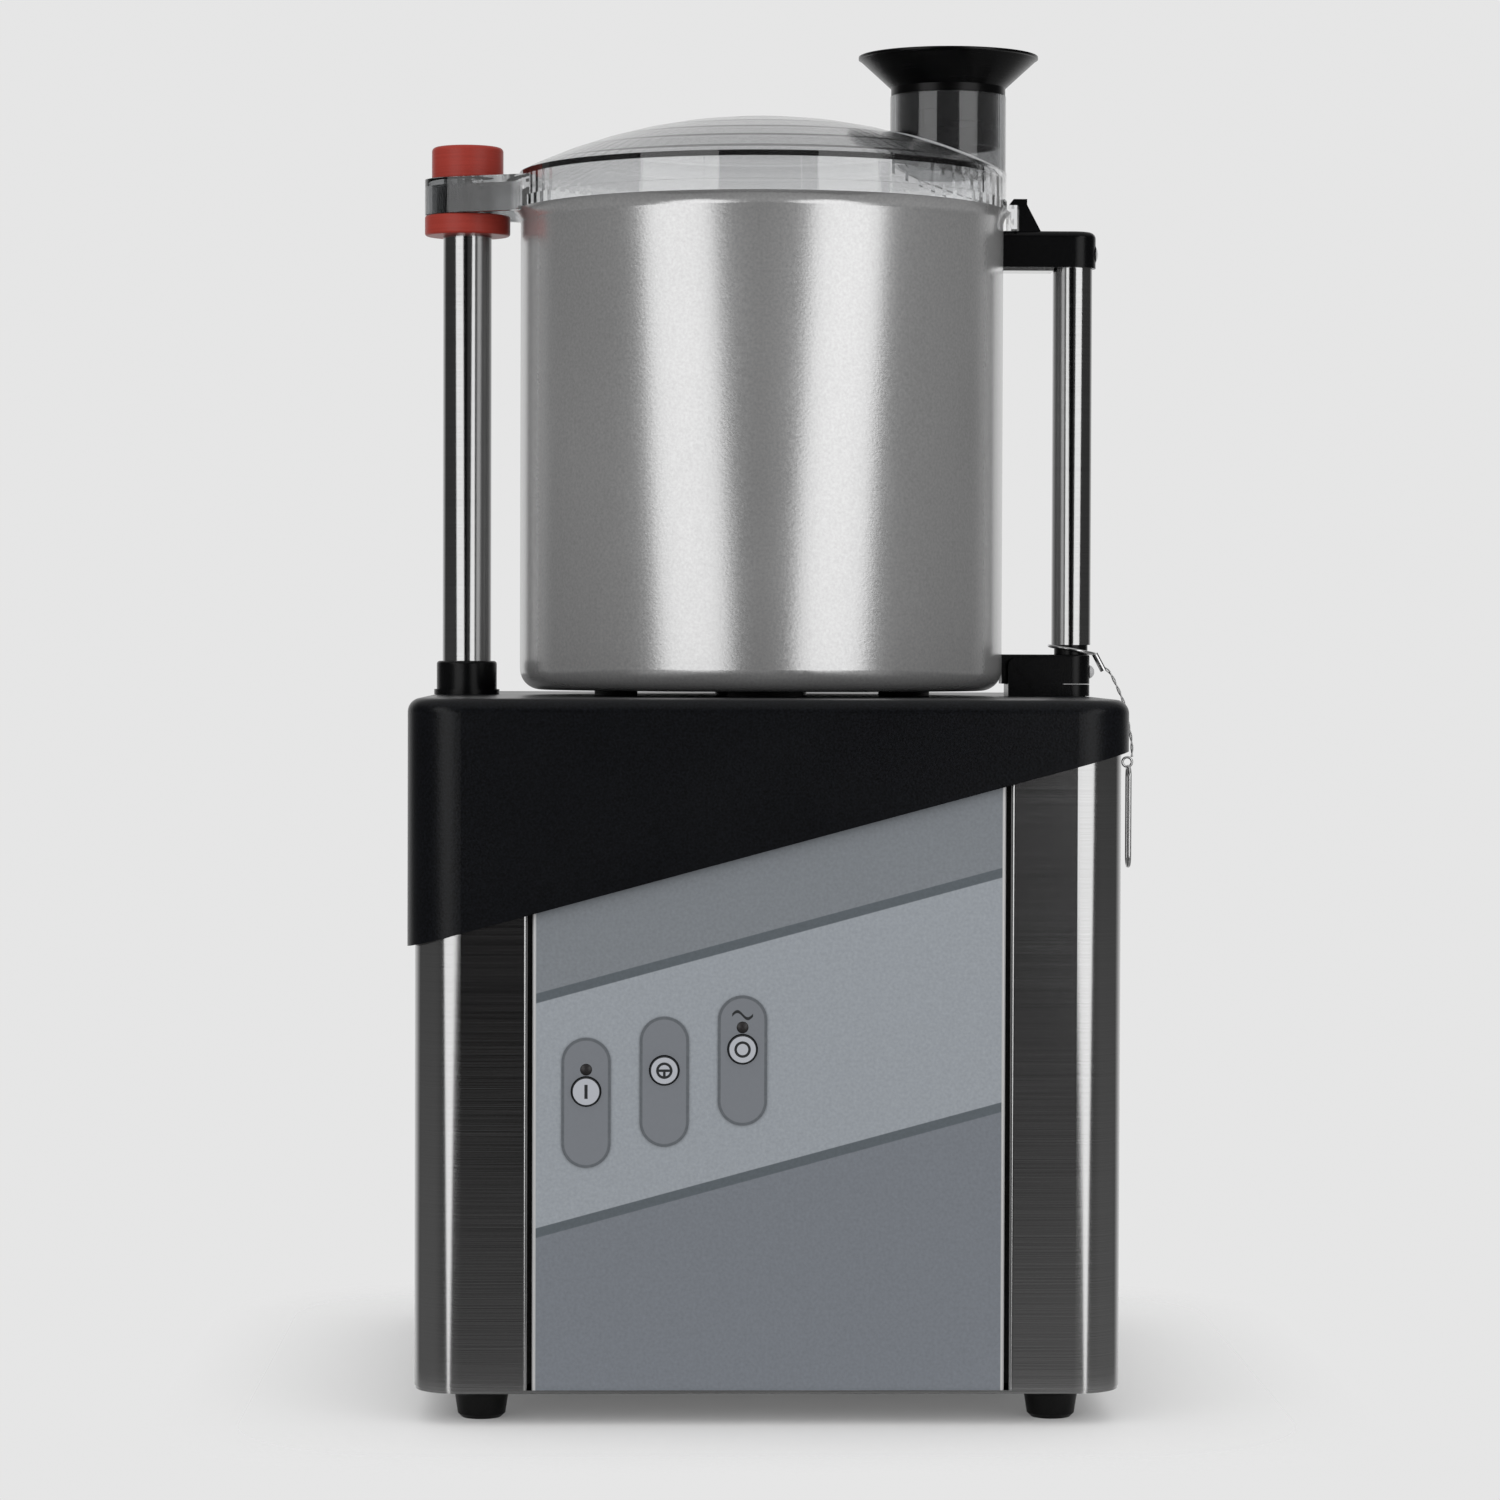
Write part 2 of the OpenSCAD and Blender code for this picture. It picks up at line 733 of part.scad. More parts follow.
module seat_pads() {
    color([0.08, 0.08, 0.08]) for (i = [0 : 5]) rotate([0, 0, 60 * i + 30]) translate([0, 0, deck_z])
        ring_sector(pad_r + pad_w / 2, pad_r - pad_w / 2, pad_h, pad_angle);
}

module foot_profile() {
    top_r = foot_d / 2;
    difference() {
        polygon([
            [0, 0], [top_r - 3.2, 0], [top_r - 1.7, 1.4], [top_r - 0.6, foot_h - 3],
            [top_r, foot_h - 2], [top_r, foot_h], [0, foot_h]
        ]);
        translate([-over, -over]) square([foot_screw_r + 0.1 + over, foot_h + 2 * over]);
        translate([-over, -over]) square([5 + over, 5 + over]);
    }
}

module feet() {
    color([0.06, 0.06, 0.06]) for (x = [-foot_x, foot_x], y = [-foot_y, foot_y])
        translate([x, y, 0]) rotate_extrude() foot_profile();
}

module foot_screws() {
    color("silver") for (x = [-foot_x, foot_x], y = [-foot_y, foot_y]) translate([x, y, 0]) {
        translate([0, 0, 5]) mirror([0, 0, 1]) dome_head(4.5, 2.4);
        translate([0, 0, 5 - over / 2]) cylinder(r = foot_screw_r, h = floor_z + 3);
        translate([0, 0, floor_z]) cylinder(r = 4.6, h = 4, $fn = 6);
    }
}

// Post

module post_boss() {
    top_r = post_r + 2.2;
    color([0.08, 0.08, 0.08]) translate([post_x, 0, deck_z]) rotate_extrude() difference() {
        union() {
            square([top_r + 1, 2]);
            bar_half(top_r, post_boss_h, 1.2);
        }
        translate([-over, -over]) square([post_r + run_fit + over, post_boss_h + 2 * over]);
    }
}

module lid_post() {
    low = deck_under - post_nut_h - 2;
    color("silver") translate([post_x, 0, low]) ring(post_r, post_r - post_wall, post_top - low);
}

module post_nut() {
    color("silver") translate([post_x, 0, deck_under - post_nut_h]) difference() {
        cylinder(r = post_nut_r, h = post_nut_h, $fn = 6);
        translate([0, 0, -over]) cylinder(r = post_r + run_fit, h = post_nut_h + 2 * over);
    }
}

module post_collar() {
    color([0.68, 0.22, 0.18]) translate([post_x, 0, collar_z]) rotate_extrude() difference() {
        union() {
            translate([0, 1]) bar_half(collar_r, collar_h - 1, 0.8);
            square([collar_r - 1, 1.5]);
            translate([collar_r - 1, 1]) circle(r = 1);
        }
        translate([-over, -over])
            square([post_r + run_fit + over, collar_h - collar_cap_t + over]);
    }
}

module reed_switch() {
    color([0.85, 0.85, 0.8]) translate([post_x, 0, post_top - 20]) {
        cylinder(r = 3, h = 20);
        translate([0, 0, -4]) cylinder(r = 1.4, h = 5);
    }
}

module handle_cradle() {
    color([0.09, 0.09, 0.09]) {
        translate([0, 0, deck_z]) difference() {
            union() {
                round_bar(cradle_x, grip_x, low_end_r, cradle_floor_t, 0.3);
                translate([cradle_x, -cradle_hw, 0]) cube([cheek_len, 2 * cradle_hw, cradle_floor_t]);
            }
            translate([grip_x, 0, -over]) cylinder(r = 2.2, h = cradle_floor_t + 2 * over);
        }
        for (s = [-1, 1]) translate([cradle_x, s > 0 ? cradle_hw : cheek_t - cradle_hw, deck_z]) {
            rotate([90, 0, 0]) linear_extrude(cheek_t) {
                square([cheek_len, cradle_h - cheek_r]);
                translate([cheek_r, 0]) square([cheek_len - 2 * cheek_r, cradle_h]);
                for (x = [cheek_r, cheek_len - cheek_r]) translate([x, cradle_h - cheek_r])
                    circle(r = cheek_r);
            }
            translate([2, s > 0 ? -0.2 : -cheek_t - 0.4, cradle_h - 2.4])
                rotate([0, 53, 0]) cube([13, 0.6, 0.8]);
        }
    }
}

// Motor

module motor_ears(h) {
    for (a = [45 : 90 : 315]) rotate([0, 0, a]) translate([bolt_circle, 0, 0])
        cylinder(r = ear_r, h = h);
}

module bolt_holes(z, h) {
    for (a = [45 : 90 : 315]) rotate([0, 0, a]) translate([bolt_circle, 0, z])
        cylinder(r = bolt_r + run_fit, h = h);
}

module motor_plate() {
    color("silver") difference() {
        union() {
            translate([-shell_in_hw, -plate_hd, plate_under])
                cube([2 * shell_in_hw, 2 * plate_hd, plate_t]);
            for (x = [-shell_in_hw, shell_in_hw - plate_t])
                translate([x, -plate_hd, plate_top - plate_flange])
                    cube([plate_t, 2 * plate_hd, plate_flange]);
        }
        translate([0, 0, plate_under - over]) cylinder(r = shaft_r + 6, h = plate_t + 2 * over);
        bolt_holes(plate_under - over, plate_t + 2 * over);
        translate([post_x, 0, plate_under - over]) cylinder(r = post_r + 8, h = plate_t + 2 * over);
    }
}

module motor_frame() {
    color([0.6, 0.6, 0.62]) translate([0, 0, frame_z]) difference() {
        union() {
            cylinder(r = motor_r, h = motor_h);
            for (i = [0 : rib_count - 1]) rotate([0, 0, (i + 0.5) * 360 / rib_count])
                translate([motor_r - 2, -0.8, 6]) cube([2 + rib_h, 1.6, motor_h - 12]);
        }
        translate([0, 0, -over]) cylinder(r = motor_r - frame_wall, h = motor_h + 2 * over);
    }
}

module stator() {
    color([0.45, 0.35, 0.25]) translate([0, 0, frame_z + core_gap]) {
        ring(motor_r - frame_wall - run_fit, rotor_r + air_gap, core_h);
        for (z = [-13, core_h]) translate([0, 0, z])
            ring(motor_r - frame_wall - 5, rotor_r + 5, 13);
    }
}

module upper_end_shield() {
    color([0.7, 0.7, 0.72]) translate([0, 0, frame_top]) difference() {
        union() {
            translate([0, 0, upper_shield_h - shield_t]) {
                cylinder(r = motor_r, h = shield_t);
                motor_ears(shield_t);
            }
            ring(motor_r, motor_r - shield_wall, upper_shield_h);
            translate([0, 0, 2]) cylinder(r = upper_bearing_r + 5, h = upper_shield_h - 2);
        }
        translate([0, 0, -over])
            cylinder(r = upper_bearing_r + run_fit, h = upper_shield_h - shield_t + over);
        cylinder(r = shaft_r + 2, h = upper_shield_h + over);
        bolt_holes(0, upper_shield_h + over);
    }
}

module lower_end_shield() {
    color([0.7, 0.7, 0.72]) translate([0, 0, lower_shield_z]) difference() {
        union() {
            cylinder(r = motor_r, h = 4);
            motor_ears(4);
            ring(motor_r, motor_r - shield_wall, lower_shield_h);
            cylinder(r = lower_bearing_r + 5, h = lower_shield_h - 2);
        }
        translate([0, 0, 4]) cylinder(r = lower_bearing_r + run_fit, h = lower_shield_h);
        translate([0, 0, -over]) cylinder(r = lower_journal_r + 2, h = lower_shield_h);
        bolt_holes(-over, lower_shield_h);
    }
}

module bearing(outer, inner, h) {
    rotate_extrude() difference() {
        translate([inner, 0]) square([outer - inner, h]);
        for (y = [-over, h - 0.6]) translate([inner + (outer - inner) * 0.25, y])
            square([(outer - inner) * 0.5, 0.6 + over]);
    }
}

module upper_bearing() {
    color([0.5, 0.5, 0.52]) translate([0, 0, frame_top + upper_shield_h - shield_t - upper_bearing_h])
        bearing(upper_bearing_r, shaft_r + run_fit, upper_bearing_h);
}

module lower_bearing() {
    color([0.5, 0.5, 0.52]) translate([0, 0, lower_shield_z + 4])
        bearing(lower_bearing_r, lower_journal_r + run_fit, lower_bearing_h);
}

module shaft_seal() {
    color([0.12, 0.12, 0.12]) translate([0, 0, deck_z + boss_h - seal_t]) rotate_extrude() {
        difference() {
            translate([shaft_r + run_fit, 0]) square([4 - run_fit - 0.02, seal_t]);
            translate([shaft_r + 0.9, -over]) square([1.4, seal_t - 1]);
        }
    }
}

module motor_bolts() {
    low = lower_shield_z - 4;
    color("silver") for (a = [45 : 90 : 315]) rotate([0, 0, a]) translate([bolt_circle, 0, 0]) {
        translate([0, 0, low]) cylinder(r = 4.6, h = 4, $fn = 6);
        translate([0, 0, low + 2]) cylinder(r = bolt_r, h = plate_top + 8 - low);
        translate([0, 0, plate_top]) cylinder(r = 4.6, h = 4, $fn = 6);
    }
}

// Drive

module flatted(r, w, h) {
    intersection() {
        cylinder(r = r, h = h);
        translate([-r - over, -w / 2, 0]) cube([2 * (r + over), w, h]);
    }
}

module drive_shaft() {
    journal_top = lower_shield_z + lower_shield_h;
    flats_z = hub_in_top - socket_len - 3;
    color([0.75, 0.75, 0.77]) {
        translate([0, 0, shaft_z]) cylinder(r = lower_journal_r, h = journal_top - shaft_z);
        translate([0, 0, journal_top]) cylinder(r = shaft_r, h = flats_z - journal_top);
        translate([0, 0, flats_z]) flatted(shaft_r, flats_w, shaft_top - flats_z);
    }
}

module motor_rotor() {
    low = frame_z + core_gap;
    color([0.55, 0.5, 0.45]) {
        translate([0, 0, low]) ring(rotor_r, shaft_r + 0.02, core_h);
        for (z = [low - 6, low + core_h]) translate([0, 0, z]) ring(rotor_r - 3, rotor_r - 12, 6);
    }
}

module cooling_fan() {
    color([0.2, 0.2, 0.22]) translate([0, 0, fan_z]) difference() {
        union() {
            cylinder(r = lower_journal_r + 5, h = fan_h);
            translate([0, 0, fan_h - 2]) cylinder(r = fan_r, h = 2);
            for (i = [0 : fan_blades - 1]) rotate([0, 0, i * 360 / fan_blades])
                translate([0, -1, 0]) cube([fan_r - 2, 2, fan_h - 1]);
        }
        translate([0, 0, -over]) cylinder(r = lower_journal_r + 0.02, h = fan_h + 2 * over);
    }
}

// Bowl

// Section of the bowl's hollow or of its outside, grown inwards by t
module bowl_half(t, top) {
    r = bowl_r - t;
    c = bowl_corner_r - t;
    translate([0, bowl_corner_r]) square([r, top - bowl_corner_r]);
    translate([0, t]) square([r - c, bowl_corner_r]);
    translate([r - c, t + c]) circle(r = c);
}

module bowl() {
    wall_top = bowl_h - lip_h;
    color([0.72, 0.72, 0.72]) translate([0, 0, bowl_z]) rotate_extrude() difference() {
        union() {
            difference() {
                bowl_half(0, wall_top);
                bowl_half(bowl_wall, wall_top + over);
            }
            square([chimney_r, chimney_h]);
            translate([bowl_r + lip_r, wall_top]) intersection() {
                difference() {
                    circle(r = lip_r + bowl_wall);
                    circle(r = lip_r);
                }
                translate([-lip_r - bowl_wall, 0]) square([lip_r + bowl_wall, lip_h]);
            }
        }
        translate([-over, -over]) square([chimney_in_r + over, chimney_h + 2 * over]);
    }
}

module bowl_saddle(z, h) {
    translate([0, 0, z - over]) cylinder(r = bowl_r + run_fit, h = h + 2 * over);
}

module upper_strap() {
    color("silver") difference() {
        translate([bowl_r - 4, -7, bracket_z - strap_t])
            cube([grip_x - grip_r - 0.3 - bowl_r + 4, 14, strap_t]);
        bowl_saddle(bracket_z - strap_t, strap_t);
    }
}

module handle_studs() {
    color("silver") for (z = [bracket_z + bracket_h / 2, low_z + 7]) difference() {
        translate([bowl_r - 4, 0, z]) rod_x(stud_r, stud_len + 4);
        bowl_saddle(z - stud_r, 2 * stud_r);
    }
}

module upper_bracket() {
    color([0.08, 0.08, 0.08]) difference() {
        union() {
            translate([0, 0, bracket_z]) round_bar(bowl_r - 4, grip_x, end_r, bracket_h, bracket_edge);
            translate([0, hook_w / 2, 0]) rotate([90, 0, 0]) linear_extrude(hook_w) hook_profile();
        }
        bowl_saddle(bracket_z, bracket_h);
        translate([grip_x, 0, bracket_z - over]) cylinder(r = grip_r + run_fit, h = socket_h + over);
        translate([bowl_r - over, 0, bracket_z + bracket_h / 2])
            rod_x(stud_r + run_fit, stud_len + over);
        translate([grip_x, 0, upper_screw_z]) rod_x(screw_hole_r, end_r + over);
    }
}

// The hook's nose reaches over the lid's tab
module hook_profile() {
    stem_x = tab_r + slide_fit;
    nose_z = tab_top + flat_fit;
    top = nose_z + hook_t;
    polygon([
        [stem_x, bracket_top - 3], [stem_x, nose_z], [stem_x - hook_nose, nose_z],
        [stem_x - hook_nose, nose_z + 1], [stem_x - hook_nose + 1.3, top],
        [stem_x + hook_out, top], [stem_x + hook_out, top - 2.2],
        [stem_x + hook_foot, bracket_top], [stem_x + hook_foot, bracket_top - 3]
    ]);
}

module lower_bracket() {
    color([0.08, 0.08, 0.08]) difference() {
        union() {
            translate([0, 0, low_z]) round_bar(bowl_r - 4, grip_x, low_end_r, low_bracket_h, 0.8);
            translate([grip_x, 0, low_top - over]) cylinder(r = neck_d / 2, h = neck_h + over);
            translate([grip_x, 0, low_top])
                cylinder(r = grip_r - grip_wall - 0.1, h = neck_h + spigot_len);
        }
        bowl_saddle(low_z, low_bracket_h);
        translate([bowl_r - over, 0, low_z + 7]) rod_x(stud_r + run_fit, stud_len + over);
        translate([grip_x - 5, 0, lower_screw_z]) rod_x(screw_hole_r, low_end_r + 5 + over);
    }
}

module grip_tube() {
    low = low_top + neck_h;
    top = bracket_z + socket_h - flat_fit;
    color("silver") difference() {
        translate([grip_x, 0, low]) ring(grip_r, grip_r - grip_wall, top - low);
        translate([grip_x, 0, upper_screw_z]) rod_x(screw_hole_r, grip_r + over);
    }
}

module handle_screws() {
    color("silver") {
        translate([grip_x - 5, 0, upper_screw_z]) rod_x(screw_r, end_r + 5);
        translate([grip_x + end_r, 0, upper_screw_z])
            rotate([0, 90, 0]) dome_head(3.2, screw_head_h);
        translate([grip_x - 4.8, 0, lower_screw_z]) rod_x(screw_r, low_end_r + 4.8);
        translate([grip_x + low_end_r, 0, lower_screw_z])
            rotate([0, 90, 0]) dome_head(2.6, 1.9);
    }
}

// Lanyard

module torus_wire(r, wire, angle) {
    rotate_extrude(angle = angle) translate([r, 0]) circle(r = wire, $fn = 24);
}

module lanyard_loop() {
    color("silver") translate([loop_x, 0, loop_z]) rotate([0, loop_tilt, 0])
        torus_wire(loop_r, wire_r, 360);
}

module rod_between(a, b, r) {
    d = b - a;
    translate(a) rotate([0, acos(d.z / norm(d)), atan2(d.y, d.x)]) cylinder(r = r, h = norm(d));
}

module lanyard_ferrule() {
    color("silver") rod_between(ferrule_from, ferrule_to, ferrule_d / 2);
}

// A smooth curve through the route's points
function spline(p, i, t) =
    let (
        n = len(p) - 1,
        a = p[max(i - 1, 0)], b = p[i], c = p[min(i + 1, n)], d = p[min(i + 2, n)]
    )
    0.5 * (2 * b + (c - a) * t + (2 * a - 5 * b + 4 * c - d) * t * t
        + (3 * b - a - 3 * c + d) * t * t * t);

// A tube with eight sides, swept along points that lie in the plane Y = 0
module flat_tube(path, r) {
    sides = 8;
    n = len(path);
    ring_points = [
        for (i = [0 : n - 1])
            let (d = path[min(i + 1, n - 1)] - path[max(i - 1, 0)], u = d / norm(d))
            for (k = [0 : sides - 1])
                path[i] + r * (cos(k * 360 / sides) * [u.z, 0, -u.x]
                    + sin(k * 360 / sides) * [0, 1, 0])
    ];
    walls = [
        for (i = [0 : n - 2], k = [0 : sides - 1])
            let (m = (k + 1) % sides)
            [i * sides + k, (i + 1) * sides + k, (i + 1) * sides + m, i * sides + m]
    ];
    ends = [[for (k = [0 : sides - 1]) k], [for (k = [sides - 1 : -1 : 0]) (n - 1) * sides + k]];
    polyhedron(points = ring_points, faces = concat(walls, ends));
}

module lanyard_wire() {
    last = len(wire_points) - 1;
    path = [
        for (i = [0 : last - 1], s = [0 : wire_steps - 1]) spline(wire_points, i, s / wire_steps),
        wire_points[last]
    ];
    color("silver") flat_tube(path, wire_r);
}

module lanyard_clip() {
    low = eye_at.z - eye_r - clip_h;
    high = eye_at.z - eye_r - clip_r;
    color("silver") {
        translate(eye_at) rotate([90, 0, 0]) torus_wire(eye_r, eye_wire_r, 360);
        translate([clip_x, 0, high]) rotate([90, 0, 90]) torus_wire(clip_r, clip_wire_r, 180);
        translate([clip_x, 0, low]) rotate([-90, 0, 90]) torus_wire(clip_r, clip_wire_r, 180);
        for (y = [-clip_r, clip_r]) translate([clip_x, y, low])
            cylinder(r = clip_wire_r, h = high - low, $fn = 24);
    }
}

// Knife

module knife_hub() {
    color([0.7, 0.7, 0.72]) difference() {
        union() {
            translate([0, 0, hub_z]) {
                cylinder(r = hub_r + hub_flange_out, h = hub_flange_h);
                cylinder(r = hub_r, h = hub_in_top - hub_z - over);
            }
            translate([0, 0, hub_in_top - over])
                cylinder(r1 = hub_r, r2 = hub_r - 6, h = hub_roof + over);
        }
        translate([0, 0, hub_z - over]) difference() {
            cylinder(r = hub_bore_r, h = hub_in_top - hub_z + over);
            translate([0, 0, hub_in_top - hub_z + over - socket_len])
                cylinder(r = socket_r, h = socket_len + over);
        }
        translate([0, 0, hub_in_top - socket_len - over])
            flatted(shaft_r + drive_fit, flats_w + 2 * drive_fit, socket_len + over);
        translate([0, 0, hub_top - 6]) cylinder(r = 3.05, h = 6 + over);
    }
}

// A curved blade: its convex edge leads and carries the bevel, its concave edge trails
module blade() {
    lead_r = 0.7 * tip_r;
    lead_at = [0.34 * tip_r, -0.43 * tip_r];
    trail_r = 0.66 * tip_r;
    trail_at = [0.34 * tip_r, -0.7 * tip_r];
    root_r = hub_r + hub_flange_out - 1;
    difference() {
        union() {
            linear_extrude(blade_t) intersection() {
                circle(r = tip_r);
                difference() {
                    translate(lead_at) circle(r = lead_r);
                    translate(trail_at) circle(r = trail_r);
                    translate([-2 * tip_r, -tip_r]) square([2 * tip_r, 2 * tip_r]);
                }
            }
            cylinder(r = root_r, h = blade_t);
        }
        difference() {
            translate(lead_at) rotate_extrude() polygon([
                [lead_r - bevel_w, blade_t], [lead_r, 0.3], [lead_r + over, 0.3],
                [lead_r + over, blade_t + over], [lead_r - bevel_w, blade_t + over]
            ]);
            translate([0, 0, -over]) cylinder(r = root_r, h = blade_t + 3 * over);
        }
        translate([0, 0, -over]) cylinder(r = hub_r + run_fit, h = blade_t + 2 * over);
    }
}

module lower_blade() {
    color([0.8, 0.8, 0.82]) translate([0, 0, lower_blade_z]) rotate([0, 0, 200]) blade();
}

module upper_blade() {
    color([0.8, 0.8, 0.82]) translate([0, 0, upper_blade_z]) rotate([0, 0, 20]) blade();
}

module blade_spacer() {
    color([0.15, 0.15, 0.15]) translate([0, 0, lower_blade_z + blade_t])
        ring(hub_r + hub_flange_out - 2, hub_r + run_fit, blade_step - blade_t);
}

module clamp_ring() {
    color([0.7, 0.7, 0.72]) translate([0, 0, upper_blade_z + blade_t]) difference() {
        ring(hub_r + hub_flange_out - 1, hub_r + run_fit, clamp_h);
        for (a = [0 : 60 : 300]) rotate([0, 0, a])
            translate([hub_r + hub_flange_out - 3, -2.5, 2]) cube([4, 5, clamp_h]);
    }
}

module hub_knob() {
    color([0.1, 0.1, 0.1]) translate([0, 0, hub_top]) {
        difference() {
            rotate_extrude() bar_half(knob_r, knob_h, 3);
            for (i = [0 : 7]) rotate([0, 0, i * 45]) translate([knob_r + 2.2, 0, 3])
                cylinder(r = 4, h = knob_h);
        }
        translate([0, 0, -5.8]) cylinder(r = 3, h = 6);
    }
}

// Lid

// Outline of the arm: round about the post, widening towards the lid
module arm_outline(r) {
    reach = -post_x - lid_in_r + 20;
    dx = -r * sin(arm_taper);
    dy = r * cos(arm_taper);
    far_y = dy + (reach - dx) * tan(arm_taper);
    translate([post_x, 0]) {
        circle(r = r);
        polygon([[dx, dy], [reach, far_y], [reach, -far_y], [dx, -dy]]);
    }
}

module lid_dome(r, low) {
    intersection() {
        translate([0, 0, low]) cylinder(r = r, h = dome_z + dome_r - low);
        translate([0, 0, dome_z]) sphere(r = dome_r - (lid_r - r));
    }
}

module feed_bead() {
    intersection() {
        translate([feed_x, 0, lid_top_z - 2]) cylinder(r = feed_r + feed_bead_w, h = feed_z - lid_top_z);
        translate([0, 0, dome_z]) sphere(r = dome_r + feed_bead_w);
        translate([0, 0, lid_z]) cylinder(r = lid_r + apron_out, h = feed_z - lid_z);
    }
}

module feed_skirt() {
    difference() {
        translate([feed_x, 0, feed_low]) cylinder(r = feed_r, h = feed_z - feed_low);
        translate([0, 0, dome_z]) sphere(r = dome_r - lid_wall - feed_skirt_h);
    }
}

module lid() {
    color([0.8, 0.85, 0.88, 0.35]) difference() {
        union() {
            lid_dome(lid_r, lid_z);
            feed_bead();
            translate([0, 0, lid_z]) ring_sector(lid_r + apron_out, lid_r - 1, lid_side_h, apron_angle);
            translate([0, 0, lid_z]) cylinder(r = lid_r + lid_flange_out, h = lid_flange_h);
            translate([0, 0, lid_z - spigot_h]) cylinder(r = spigot_r, h = spigot_h + over);
            translate([0, 0, arm_z]) linear_extrude(arm_h) arm_outline(collar_r);
            translate([feed_x, 0, lid_top_z - 6]) cylinder(r = feed_r, h = feed_z - lid_top_z + 6);
            translate([0, 0, lid_z]) ring_sector(tab_r, lid_r - 1, tab_top - lid_z, tab_angle);
            translate([0, 0, tab_low]) ring_sector(tab_r, tab_in_r, lid_z - tab_low + over, tab_angle);
        }
        difference() {
            lid_dome(lid_in_r, lid_z);
            feed_skirt();
        }
        translate([0, 0, lid_z - spigot_h - over])
            cylinder(r = spigot_r - spigot_wall, h = spigot_h + 2 * over);
        translate([0, 0, lid_z - spigot_h + 1.5])
            ring(spigot_r + over, spigot_r - seal_w + 0.3, seal_h + 0.1);
        translate([feed_x, 0, feed_low - over]) cylinder(r = feed_bore_r, h = feed_z - feed_low + 1);
        translate([0, 0, arm_z - over]) difference() {
            linear_extrude(arm_h - arm_roof + over) arm_outline(collar_r - arm_wall);
            translate([post_x, 0, 0]) cylinder(r = post_r + eye_wall, h = arm_h + over);
            translate([0, 0, -over]) cylinder(r = lid_r + 1.2, h = arm_h + 3 * over);
        }
        translate([0, 0, arm_z - over]) ring(tab_in_r, spigot_r, arm_drop + over);
        translate([post_x, 0, arm_z - over]) cylinder(r = post_r + 0.1, h = arm_h + 2 * over);
    }
}

module lid_seal() {
    color([0.85, 0.85, 0.85]) translate([0, 0, lid_z - spigot_h + 1.55])
        ring(spigot_r + slide_fit, spigot_r - seal_w + 0.35, seal_h);
}

module magnet_sleeve() {
    color("silver") translate([post_x, 0, arm_z + 0.4])
        ring(post_r, post_r - post_wall, arm_h - 0.4);
}

module lid_magnet() {
    color([0.3, 0.3, 0.32]) translate([post_x, 0, arm_z + 0.4])
        cylinder(r = post_r - post_wall - run_fit, h = magnet_h);
}

module magnet_cap() {
    color([0.68, 0.22, 0.18]) translate([post_x, 0, arm_top]) {
        rotate_extrude() bar_half(cap_d / 2, cap_h, 1.6);
        translate([0, 0, magnet_h + 0.4 - arm_h]) cylinder(
            r = post_r - post_wall - run_fit, h = arm_h - magnet_h);
    }
}

module funnel() {
    rim_r = funnel_d / 2;
    neck_r = feed_r - 0.3;
    sleeve_r = feed_bore_r - slide_fit;
    wall = 1.8;
    lip = 3.2;
    color([0.07, 0.07, 0.07]) translate([feed_x, 0, feed_z]) rotate_extrude() polygon([
        [sleeve_r, -sleeve_h], [sleeve_r, flat_fit], [neck_r, flat_fit], [neck_r, lip],
        [rim_r - 0.6, funnel_h - 1.2], [rim_r, funnel_h - 0.9], [rim_r, funnel_h],
        [rim_r - wall, funnel_h], [neck_r - wall - 0.6, lip + 1.2],
        [sleeve_r - wall, lip - 1], [sleeve_r - wall, -sleeve_h]
    ]);
}

bottom_tray();
body_shell();
front_panel();
key_wells();
indicator_lamps();
keypad_board();
control_board();
board_bracket();
capacitor();
capacitor_clamp();
cable_gland();
top_cover();
seat_pads();
handle_cradle();
post_boss();
lid_post();
post_nut();
post_collar();
reed_switch();
feet();
foot_screws();
motor_plate();
motor_frame();
stator();
upper_end_shield();
lower_end_shield();
upper_bearing();
lower_bearing();
shaft_seal();
motor_bolts();
drive_shaft();
motor_rotor();
cooling_fan();
bowl();
upper_strap();
handle_studs();
upper_bracket();
lower_bracket();
grip_tube();
handle_screws();
lanyard_loop();
lanyard_ferrule();
lanyard_wire();
lanyard_clip();
knife_hub();
lower_blade();
blade_spacer();
upper_blade();
clamp_ring();
hub_knob();
lid();
lid_seal();
magnet_sleeve();
lid_magnet();
magnet_cap();
funnel();
start_key();
pulse_key();
stop_key();
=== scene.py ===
# %% [markdown]
# # A vertical cutter mixer for a kitchen
# The machine is already built as exact solids: a steel base with its motor, a bowl on top, a knife
# on the motor's shaft, and a clear lid that turns on the bowl and locks over a post. This file
# gives it its looks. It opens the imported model, sets the camera and the light, gives every piece
# a material, and models the few things that solids are bad at, such as a twisted wire.

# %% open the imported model
import math

